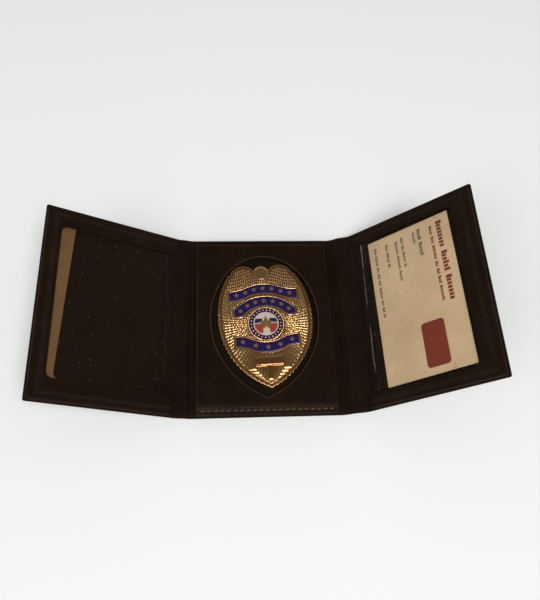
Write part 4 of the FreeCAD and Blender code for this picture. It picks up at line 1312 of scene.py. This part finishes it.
def badge_relief(sizes, across, tall, inside, walk):
    """Height struck above the dome, and the share of plain polished metal. Beads lie above the banners, rays
    round the seal, leaves along the border and near the tip, and each inlay has a raised rim. The crown, the
    tablet with its scroll, and the stem below it are plain."""
    beads, upper = beaded_rows(across, tall)
    low = ease((-SPRAY_TOP - tall) / (1.2 * MM))
    field = seal_rays(sizes, across, tall) * (1 - upper) + beads * upper
    field = field * (1 - low) + leaf_sprays(across, tall) * low
    height = leaf_border(sizes, tall, inside, walk) + field * ease((inside - BORDER) / (0.6 * MM))
    crown = ease((CROWN_RADIUS - np.hypot(across, tall - CROWN_PLACE)) / (1.2 * MM))
    height = height * (1 - crown) + crown * CROWN_HEIGHT
    for name in BANNERS:
        height = sunk(height, banner_distance(name, across, tall), BANNER_RIM, BANNER_RIM_HEIGHT)
    far, angle = from_seal(across, tall)
    rope = ROPE_HEIGHT + ROPE_WAVE * np.sin(ROPE_TURNS * angle)
    height = sunk(height, far - SEAL_RADIUS, SEAL_RIM, rope)
    away = np.maximum(np.abs(across) - TABLET[0], np.abs(tall + TABLET[2]) - TABLET[1])
    tablet = ease(-away / (0.5 * MM))
    scroll = SCROLL_HEIGHT * ridge(across, SCROLL_PLACE, SCROLL_HALF) * tablet
    height = height * ease((away - 0.4 * MM) / (0.5 * MM)) + TABLET_HEIGHT * tablet + scroll
    foot = ease((-TABLET[2] - TABLET[1] - tall) / (0.4 * MM)) * ease((tall + STEM_END) / (1.0 * MM))
    stem = ease((STEM_HALF - np.abs(across)) / (0.4 * MM)) * foot
    plain = np.maximum(np.maximum(stem, tablet), 0.55 * crown)
    return height * (1 - stem) + STEM_HEIGHT * stem, plain


PLATE_STEPS = 640  # points round the plate
PLATE_SHARES = np.concatenate((np.linspace(0, 0.9, 104), np.linspace(0.9, 0.985, 26)[1:]))  # its face's rings
# Rings over the plate's edge to the middle of its back: two that hang below the dome, three above the back
RIM_SHARES = np.array((0.995, 1.0, 1.0, 0.985, 0.0))
RIM_DROPS, BACK_HEIGHTS = np.array((-0.25, -0.7)) * MM, np.array((0.3, 0.0, 0.0)) * MM
NOTCH = 0.22 * MM  # depth of the scallops between the border's leaves


def add_badge_plate(context, gold):
    """The struck plate: rings from the middle of its face to its edge, over it and back to the middle of its
    back, with the relief on the face. The edge is scalloped by the leaves of its border."""
    sizes = context.scene.wallet_sizes
    angles = np.linspace(-np.pi / 2, 3 * np.pi / 2, PLATE_STEPS, endpoint=False)
    edge = badge_radius(sizes, angles)
    outline = edge[:, None] * np.stack((np.cos(angles), np.sin(angles)), 1)
    steps = np.linalg.norm(np.roll(outline, -1, axis=0) - outline, axis=1)
    walk = np.concatenate(([0.0], np.cumsum(steps)[:-1]))
    walk = np.minimum(walk, steps.sum() - walk)
    slope = (np.roll(edge, -1) - np.roll(edge, 1)) / (2 * (angles[1] - angles[0]))
    lean = edge / np.hypot(edge, slope)
    wave = 0.5 - 0.5 * np.sin(2 * np.pi * walk / sizes.leaf_pitch)
    notch = NOTCH * wave * ease((6 * MM - outline[:, 1]) / (4 * MM))
    outline = outline * (1 - notch / edge)[:, None]
    across, tall = outline[:, 0, None] * PLATE_SHARES, outline[:, 1, None] * PLATE_SHARES
    inside = (1 - PLATE_SHARES) * (edge * lean)[:, None]
    relief, plain = badge_relief(sizes, across, tall, inside, walk[:, None])
    rim_across, rim_tall = outline[:, 0, None] * RIM_SHARES, outline[:, 1, None] * RIM_SHARES
    hanging = dome(rim_across[:, : len(RIM_DROPS)], rim_tall[:, : len(RIM_DROPS)]) + RIM_DROPS
    rim_out = np.concatenate((hanging, np.broadcast_to(BACK_HEIGHTS, (PLATE_STEPS, len(BACK_HEIGHTS)))), 1)
    grid = on_badge(
        np.concatenate((across, rim_across), 1), np.concatenate((tall, rim_tall), 1),
        np.concatenate((dome(across, tall) + relief, rim_out), 1),
    )
    # Painted highlight: paler gold by the relief's height, not on plain metal, and half of it on the plate's
    # edge
    raised = np.clip(relief / BRIGHT_HEIGHT, 0, 1) * (1 - plain)
    raised = np.concatenate((raised, np.full(rim_out.shape, 0.5)), 1)
    plate = add_piece(
        "struck_badge_plate", grid, grid_faces(*grid.shape[:2], True, False), gold,
        {"raised": raised}, 60,
    )
    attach(plate, "center")
    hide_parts("badge_plate")


# Section of a banner: share of its half width, and height above its edge in millimetres
BANNER_ASIDE = np.array((-1.0, -1.0, -0.94, -0.5, 0.0, 0.5, 0.94, 1.0, 1.0))
BANNER_LIFT = np.array((-1.6, -0.06, 0.0, 0.05, 0.06, 0.05, 0.0, -0.06, -1.6)) * MM


def add_banner(name, material):
    """An enamel banner: across it a section with a slightly domed face, carried from end to end. The arch's
    ends narrow by a half circle, left a little open at the very end."""
    along = np.sin(np.linspace(-np.pi / 2, np.pi / 2, 90))
    width = np.ones_like(along)
    if name not in RIBBONS:
        share = BANNER_WIDTH / (ARCH_RADIUS * ARCH_SPAN)
        width = np.sqrt(1 - np.clip((np.abs(along) - 1 + share) / share, 0, 0.9998) ** 2)
    across, tall = banner_spot(name, along[:, None], BANNER_ASIDE * width[:, None])
    points = on_badge(across, tall, dome(across, tall) + PROUD + BANNER_LIFT)
    piece = add_loops(name + "_enamel", points, material)
    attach(piece, "center")
    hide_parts(name)


STAR_CORNERS = 10  # points and waists together
STAR_FOOT, STAR_RIM = -0.1 * MM, 0.06 * MM  # from the enamel's edge to a star's foot and to its rim


def star_points(middle, turn, radius, waist, height):
    """Stars with corners on two circles, at a foot and a rim, and a peak in the middle: one row for each."""
    corner = np.arange(STAR_CORNERS)
    reach = np.where(corner % 2 == 0, radius, waist)
    angle = np.pi / 2 + corner * 2 * np.pi / STAR_CORNERS + turn[:, None]
    across = middle[:, 0, None] + reach * np.cos(angle)
    tall = middle[:, 1, None] + reach * np.sin(angle)
    across = np.concatenate((across, across, middle[:, :1]), 1)
    tall = np.concatenate((tall, tall, middle[:, 1:]), 1)
    lift = np.concatenate((np.full(STAR_CORNERS, STAR_FOOT), np.full(STAR_CORNERS, STAR_RIM), (height,)))
    return on_badge(across, tall, dome(across, tall) + PROUD + lift)


def add_stars(name, middle, turn, radius, waist, height, gold):
    """Raised stars as one piece: sides from foot to rim, and a facet from each rim edge to the peak."""
    points = star_points(middle, turn, radius, waist, height)
    here = np.arange(STAR_CORNERS)
    there = np.roll(here, -1)
    sides = np.stack((here, there, there + STAR_CORNERS, here + STAR_CORNERS), 1)
    tops = np.stack((here + STAR_CORNERS, there + STAR_CORNERS, np.full(STAR_CORNERS, 2 * STAR_CORNERS)), 1)
    faces = []
    for shape in (sides, tops, here[None, ::-1]):
        faces += repeated(shape, len(middle), 2 * STAR_CORNERS + 1)
    # Painted highlight: the stars are all in the paler gold
    return add_piece(name, points, faces, gold, {"raised": np.ones(points.shape[:2])}, 10)


SEAL_STEPS = 96  # points round the seal
# Section of the seal's ring: distance from the seal's middle, and height above the ring's edge, in millimetres
RING_SECTION = np.array((
    (9.5, -1.6), (9.5, 0.0), (9.3, 0.05), (8.4, 0.08), (7.6, 0.05), (7.4, 0.0), (7.4, -1.6),
)) * MM
# Section of its field, from the middle of its face to the middle of its back
FIELD_REACH = np.concatenate((np.linspace(0, 7.2, 25), (7.3, 7.3, 0.0))) * MM
FIELD_DROP = np.concatenate((np.linspace(0, 0.03, 25), (0.1, 1.3, 1.3))) * MM
FIELD_SUNK = 0.15 * MM  # below the dome's middle
PATCH_FADE = 0.3 * MM
RING_BEADS, BEAD_CIRCLE = 26, 8.45 * MM
BEAD_RADIUS, BEAD_RISE = 0.55 * MM, 0.3 * MM
BEAD_RINGS, BEAD_SIDES = 4, 8  # points up and round a bead


def patch(distance, low, high):
    """A patch of enamel between two distances, eased in and out over its fade."""
    return ease((distance - low) / PATCH_FADE) * ease((high - distance) / PATCH_FADE)


class WALLET_OT_badge(bpy.types.Operator):
    """Struck plate, enamel banners, seal, stars and the fixings behind"""

    bl_idname = "wallet.badge"
    bl_label = "Badge"

    def execute(self, context):
        colours = context.scene.wallet_colours
        gold = finish("gold_plated_brass", struck_metal, tuple(colours.gold), tuple(colours.gold_highlight), 0.12)
        blue = finish("blue_hard_enamel", enamel, tuple(colours.blue))
        steel = finish("zinc_plated_steel", struck_metal, to_linear("#8F8E8B"), to_linear("#B9B8B4"), 0.35)
        add_badge_plate(context, gold)
        for name in BANNERS:
            add_banner(name, blue)
        self.banner_stars(gold)
        self.seal_ring(blue)
        self.ring_beads(gold)
        self.seal_field(colours)
        self.seal_star(gold)
        for node, material in (("badge_posts", gold), ("post_washers", steel), ("post_nuts", steel)):
            finish_node(node, material)
        return {"FINISHED"}

    def banner_stars(self, gold):
        """A row of small stars along each banner, evenly spaced and standing square to it."""
        middles, turns = [], []
        for name, count in zip(BANNERS, BANNER_STARS):
            along = np.linspace(-0.8, 0.8, count)
            spot = np.stack(banner_spot(name, along, np.zeros(count)), 1)
            step = np.stack(banner_spot(name, along + 0.01, np.zeros(count)), 1) - spot
            middles.append(spot)
            turns.append(np.arctan2(step[:, 1], step[:, 0]))
        middle, turn = np.concatenate(middles), np.concatenate(turns)
        stars = add_stars("banner_stars", middle, turn, 1.7 * MM, 0.75 * MM, 0.14 * MM, gold)
        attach(stars, "center")

    def seal_ring(self, blue):
        """The blue ring: its section carried round the seal's middle, on the dome."""
        spots = SEAL + circle(SEAL_STEPS)[:, None, :] * RING_SECTION[:, :1]
        across, tall = spots[..., 0], spots[..., 1]
        points = on_badge(across, tall, dome(across, tall) + PROUD + RING_SECTION[:, 1])
        piece = add_loops("seal_ring_enamel", points, blue, closed=True)
        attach(piece, "center")
        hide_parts("seal_ring")

    def ring_beads(self, gold):
        """Small gold domes round the blue ring, each a quarter circle turned about its own middle."""
        middle = SEAL + BEAD_CIRCLE * circle(RING_BEADS)
        up = np.linspace(0, np.pi / 2, BEAD_RINGS)[:, None]
        spots = middle[:, None, None, :] + BEAD_RADIUS * np.cos(up)[..., None] * circle(BEAD_SIDES)
        across, tall = spots[..., 0], spots[..., 1]
        points = on_badge(across, tall, dome(across, tall) + PROUD + BEAD_RISE * np.sin(up))
        count = BEAD_RINGS * BEAD_SIDES
        faces = repeated(grid_faces(BEAD_RINGS, BEAD_SIDES, False, True), RING_BEADS, count)
        faces += repeated(np.arange(BEAD_SIDES)[None, ::-1], RING_BEADS, count)
        # Painted highlight: the beads are all in the paler gold
        marks = {"raised": np.ones(points.shape[:-1])}
        beads = add_piece("ring_beads", points, faces, gold, marks, 60)
        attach(beads, "center")

    def seal_field(self, colours):
        """The white field with a blue and a red patch on each side: its section carried round, and flat."""
        spots = circle(SEAL_STEPS)[:, None, :] * FIELD_REACH[:, None]
        across, tall = spots[..., 0], spots[..., 1]
        points = on_badge(SEAL[0] + across, SEAL[1] + tall, THICK - FIELD_SUNK - FIELD_DROP)
        aside = ease((np.abs(across) - 1.8 * MM) / PATCH_FADE) * ease((6.8 * MM - FIELD_REACH) / PATCH_FADE)
        marks = {
            "blue_share": aside * patch(tall, 0.5 * MM, 3.4 * MM),
            "red_share": aside * patch(tall, -5.8 * MM, 0.2 * MM),
        }
        accents = {"blue_share": tuple(colours.blue), "red_share": tuple(colours.red)}
        white = finish("white_hard_enamel", enamel, tuple(colours.white), accents)
        faces = grid_faces(*points.shape[:2], True, False)
        piece = add_piece("seal_field_enamel", points, faces, white, marks)
        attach(piece, "center")
        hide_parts("seal_field")

    def seal_star(self, gold):
        """One large star in the middle of the seal."""
        star = add_stars("seal_star_gold", SEAL[None], np.zeros(1), 4.6 * MM, 2.0 * MM, 0.3 * MM, gold)
        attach(star, "center")
        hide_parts("seal_star")


# Thread

STITCH_SLANT = np.radians(9)
STITCH_RINGS, STITCH_SIDES = 6, 6  # points along and round a stitch
STITCH_RISE, STITCH_DIP = 0.1 * MM, 0.28 * MM  # of its middle above the groove's foot, and of its ends
BACK_SUNK = 0.05 * MM  # the back's thread lies this far into the cover


def stitch_middles(start, end, pitch):
    """Middles of the stitches of a row, evenly spaced, and the row's direction."""
    run = np.subtract(end, start)
    count = int(np.linalg.norm(run) // pitch)
    share = (np.arange(count) + 0.5) / count
    return np.array(start) + run * share[:, None], np.broadcast_to(run / np.linalg.norm(run), (count, 2))


def pulled_face(across, tall, sizes, foot, face):
    """Height of the badge panel's face where the seam pulls it down."""
    return face - seam_pull(sizes, tall, foot)


def level_face(across, tall, face):
    """Height of a flat face, the same at each place."""
    return np.full_like(across, face)


def add_thread(context, name, panel, rows, height, node, material, outward=1.0):
    """Stitches along rows: each a bent spindle, round across, that dips into the leather at both ends and lies
    at a small slant to its row. Height is the leather's, as a function of the place on the panel."""
    sizes = context.scene.wallet_sizes
    parts = [stitch_middles(start, end, sizes.stitch_pitch) for start, end in rows]
    middle = np.concatenate([part[0] for part in parts])
    along = turned(np.concatenate([part[1] for part in parts]), 0.0, STITCH_SLANT)
    aside = np.stack((-along[:, 1], along[:, 0]), 1)
    share = np.linspace(-1, 1, STITCH_RINGS)
    width = sizes.stitch_radius * np.sqrt(1 - 0.8 * share**4)
    sag = sizes.groove - STITCH_RISE + STITCH_DIP * share**4
    around = circle(STITCH_SIDES)
    spot = (
        middle[:, None, None, :]
        + along[:, None, None, :] * (share * sizes.stitch_length / 2)[None, :, None, None]
        + aside[:, None, None, :] * (width[:, None] * around[:, 0])[None, :, :, None]
    )
    lift = height(spot[..., 0], spot[..., 1]) + outward * (width[:, None] * around[:, 1] - sag[:, None])
    points = placed(panel, spot[..., 0], spot[..., 1], lift)
    count = STITCH_RINGS * STITCH_SIDES
    ends = np.stack((np.arange(STITCH_SIDES)[::-1], np.arange(count - STITCH_SIDES, count)))
    faces = repeated(grid_faces(STITCH_RINGS, STITCH_SIDES, False, True), len(middle), count)
    faces += repeated(ends, len(middle), count)
    piece = add_piece(name, points, faces, material, crease=60)
    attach(piece, panel.body)
    if node:
        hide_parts(node)


class WALLET_OT_thread(bpy.types.Operator):
    """Rows of stitches on the badge panel and round both window pockets"""

    bl_idname = "wallet.thread"
    bl_label = "Thread"

    def execute(self, context):
        sizes, colours = context.scene.wallet_sizes, context.scene.wallet_colours
        # Painted highlight: the thread below the badge gets the paler colour for the light that falls on it
        paler_at_seam = finish("dusty_waxed_thread", waxed_thread, tuple(colours.highlit_seam_thread))
        dark = finish("dark_waxed_thread", waxed_thread, tuple(colours.thread))
        low, high = extent("badge_panel", CENTER)
        inset = sizes.seam_inset
        row = ((low[0] + inset, low[1] + inset), (high[0] - inset, low[1] + inset))
        face = partial(pulled_face, sizes=sizes, foot=low[1], face=high[2])
        add_thread(context, "center_thread", CENTER, [row], face, "center_stitching", paler_at_seam)
        for side, panel in FLAPS.items():
            low, high = extent(side + "_frame", panel)
            near, far = low[0], high[0] - sizes.rail_inset
            foot, head = low[1] + sizes.flap_inset, high[1] - sizes.flap_inset
            rows = [((near, foot), (far, foot)), ((far, foot), (far, head)), ((far, head), (near, head))]
            face = partial(level_face, face=high[2])
            add_thread(context, side + "_thread", panel, rows, face, side + "_stitching", dark)
            back = partial(level_face, face=extent(side + "_cover", panel)[0][2] + BACK_SUNK)
            add_thread(context, side + "_back_thread", panel, rows[:2], back, None, dark, -1.0)
        return {"FINISHED"}


# Stage

Lamp = namedtuple("Lamp", "place size power")
LAMPS = {
    "soft_key_lamp": Lamp((0.35, -0.78, 1.75), 0.8, 21.5),
    "soft_fill_lamp": Lamp((-1.0, -0.9, 1.3), 1.0, 7.5),
}
LAMP_UP = (0.0, 1.0, 0.001)  # towards a lamp's top edge, roughly
FLOOR_HALF = 1.2  # half the floor's side


def add_lamp(name, lamp):
    """A square soft lamp, turned to face the wallet's middle."""
    light = bpy.data.lights.new(name, "AREA")
    light.shape = "SQUARE"
    light.size = lamp.size
    light.energy = lamp.power
    back = np.array(lamp.place) / np.linalg.norm(lamp.place)
    right = np.cross(LAMP_UP, back)
    right = right / np.linalg.norm(right)
    turn = np.stack((right, np.cross(back, right), back), 1)
    item = bpy.data.objects.new(name, light)
    item.matrix_world = Matrix.LocRotScale(lamp.place, Matrix(turn.tolist()), None)
    bpy.context.scene.collection.objects.link(item)


class WALLET_OT_stage(bpy.types.Operator):
    """Pale floor, white surroundings, soft lamps and the camera"""

    bl_idname = "wallet.stage"
    bl_label = "Stage"

    def execute(self, context):
        scene = context.scene
        self.floor(scene)
        self.surroundings(scene)
        for name, lamp in LAMPS.items():
            add_lamp(name, lamp)
        self.camera(scene)
        scene.view_settings.view_transform = "Standard"
        return {"FINISHED"}

    def floor(self, scene):
        """A square of matte paint under the wallet."""
        material, tree, place = new_material("matte_floor_paint")
        mottle = add_node(tree, "ShaderNodeTexNoise", {"Vector": place, "Scale": 1 / (330 * MM)})
        rough = add_node(
            tree, "ShaderNodeMapRange", {"Value": mottle.outputs["Fac"], "To Min": 0.85, "To Max": 0.95}
        )
        paint = add_node(
            tree, "ShaderNodeBsdfPrincipled",
            {"Base Color": rgba(scene.wallet_colours.floor), "Roughness": rough.outputs[0],
             "Specular IOR Level": 0.0},
        )
        add_node(tree, "ShaderNodeOutputMaterial", {"Surface": paint.outputs["BSDF"]})
        corners = np.array(((-1, -1, 0), (1, -1, 0), (1, 1, 0), (-1, 1, 0))) * FLOOR_HALF
        mesh = bpy.data.meshes.new("floor")
        mesh.from_pydata(corners.tolist(), [], [(0, 1, 2, 3)])
        mesh.materials.append(material)
        floor = bpy.data.objects.new("floor", mesh)
        scene.collection.objects.link(floor)

    def surroundings(self, scene):
        """A studio that is white near the horizon and dim overhead, by the height of the look."""
        world = bpy.data.worlds.new("white_studio")
        world.use_nodes = True
        tree = world.node_tree
        tree.nodes.clear()
        direction = add_node(tree, "ShaderNodeTexCoord").outputs["Generated"]
        height = add_node(tree, "ShaderNodeSeparateXYZ", {"Vector": direction}).outputs["Z"]
        strength = add_node(
            tree, "ShaderNodeMapRange",
            {"Value": height, "From Min": 0.2, "From Max": 0.55, "To Min": 1.0, "To Max": 0.19},
        )
        light = add_node(
            tree, "ShaderNodeBackground",
            {"Color": rgba(to_linear("#FFFFFF")), "Strength": strength.outputs[0]},
        )
        add_node(tree, "ShaderNodeOutputWorld", {"Surface": light.outputs["Background"]})
        scene.world = world

    def camera(self, scene):
        """The camera that the photograph's corners were fitted with."""
        camera = bpy.data.cameras.new("camera")
        camera.lens = LENS
        camera.sensor_width = SENSOR
        camera.clip_start = 10 * MM
        item = bpy.data.objects.new("camera", camera)
        item.matrix_world = Matrix.LocRotScale(CAMERA_PLACE, Euler(CAMERA_TURN), None)
        scene.collection.objects.link(item)
        scene.camera = item


class WALLET_PT_build(bpy.types.Panel):
    """Lists the steps that build the wallet"""

    bl_label = "Badge wallet"
    bl_idname = "WALLET_PT_build"
    bl_space_type = "VIEW_3D"
    bl_region_type = "UI"
    bl_category = "Wallet"

    def draw(self, context):
        for operator in OPERATORS:
            self.layout.operator(operator.bl_idname)
        for group in (context.scene.wallet_sizes, context.scene.wallet_colours):
            for key in group.__annotations__:
                self.layout.prop(group, key)


OPERATORS = (
    WALLET_OT_shell,
    WALLET_OT_badge_panel,
    WALLET_OT_window_pockets,
    WALLET_OT_cards,
    WALLET_OT_badge,
    WALLET_OT_thread,
    WALLET_OT_stage,
)
CLASSES = (WalletSizes, WalletColours, *OPERATORS, WALLET_PT_build)


def register():
    """Registers the classes, and gives each scene its sizes and colours."""
    for item in CLASSES:
        bpy.utils.register_class(item)
    bpy.types.Scene.wallet_sizes = PointerProperty(type=WalletSizes)
    bpy.types.Scene.wallet_colours = PointerProperty(type=WalletColours)


def unregister():
    """Takes away what register added, in the opposite order."""
    del bpy.types.Scene.wallet_colours
    del bpy.types.Scene.wallet_sizes
    for item in reversed(CLASSES):
        bpy.utils.unregister_class(item)


def main():
    """Builds the pieces in order."""
    register()
    bpy.ops.wallet.shell()
    bpy.ops.wallet.badge_panel()
    bpy.ops.wallet.window_pockets()
    bpy.ops.wallet.cards()
    bpy.ops.wallet.badge()
    bpy.ops.wallet.thread()
    bpy.ops.wallet.stage()


if __name__ == "__main__":
    main()
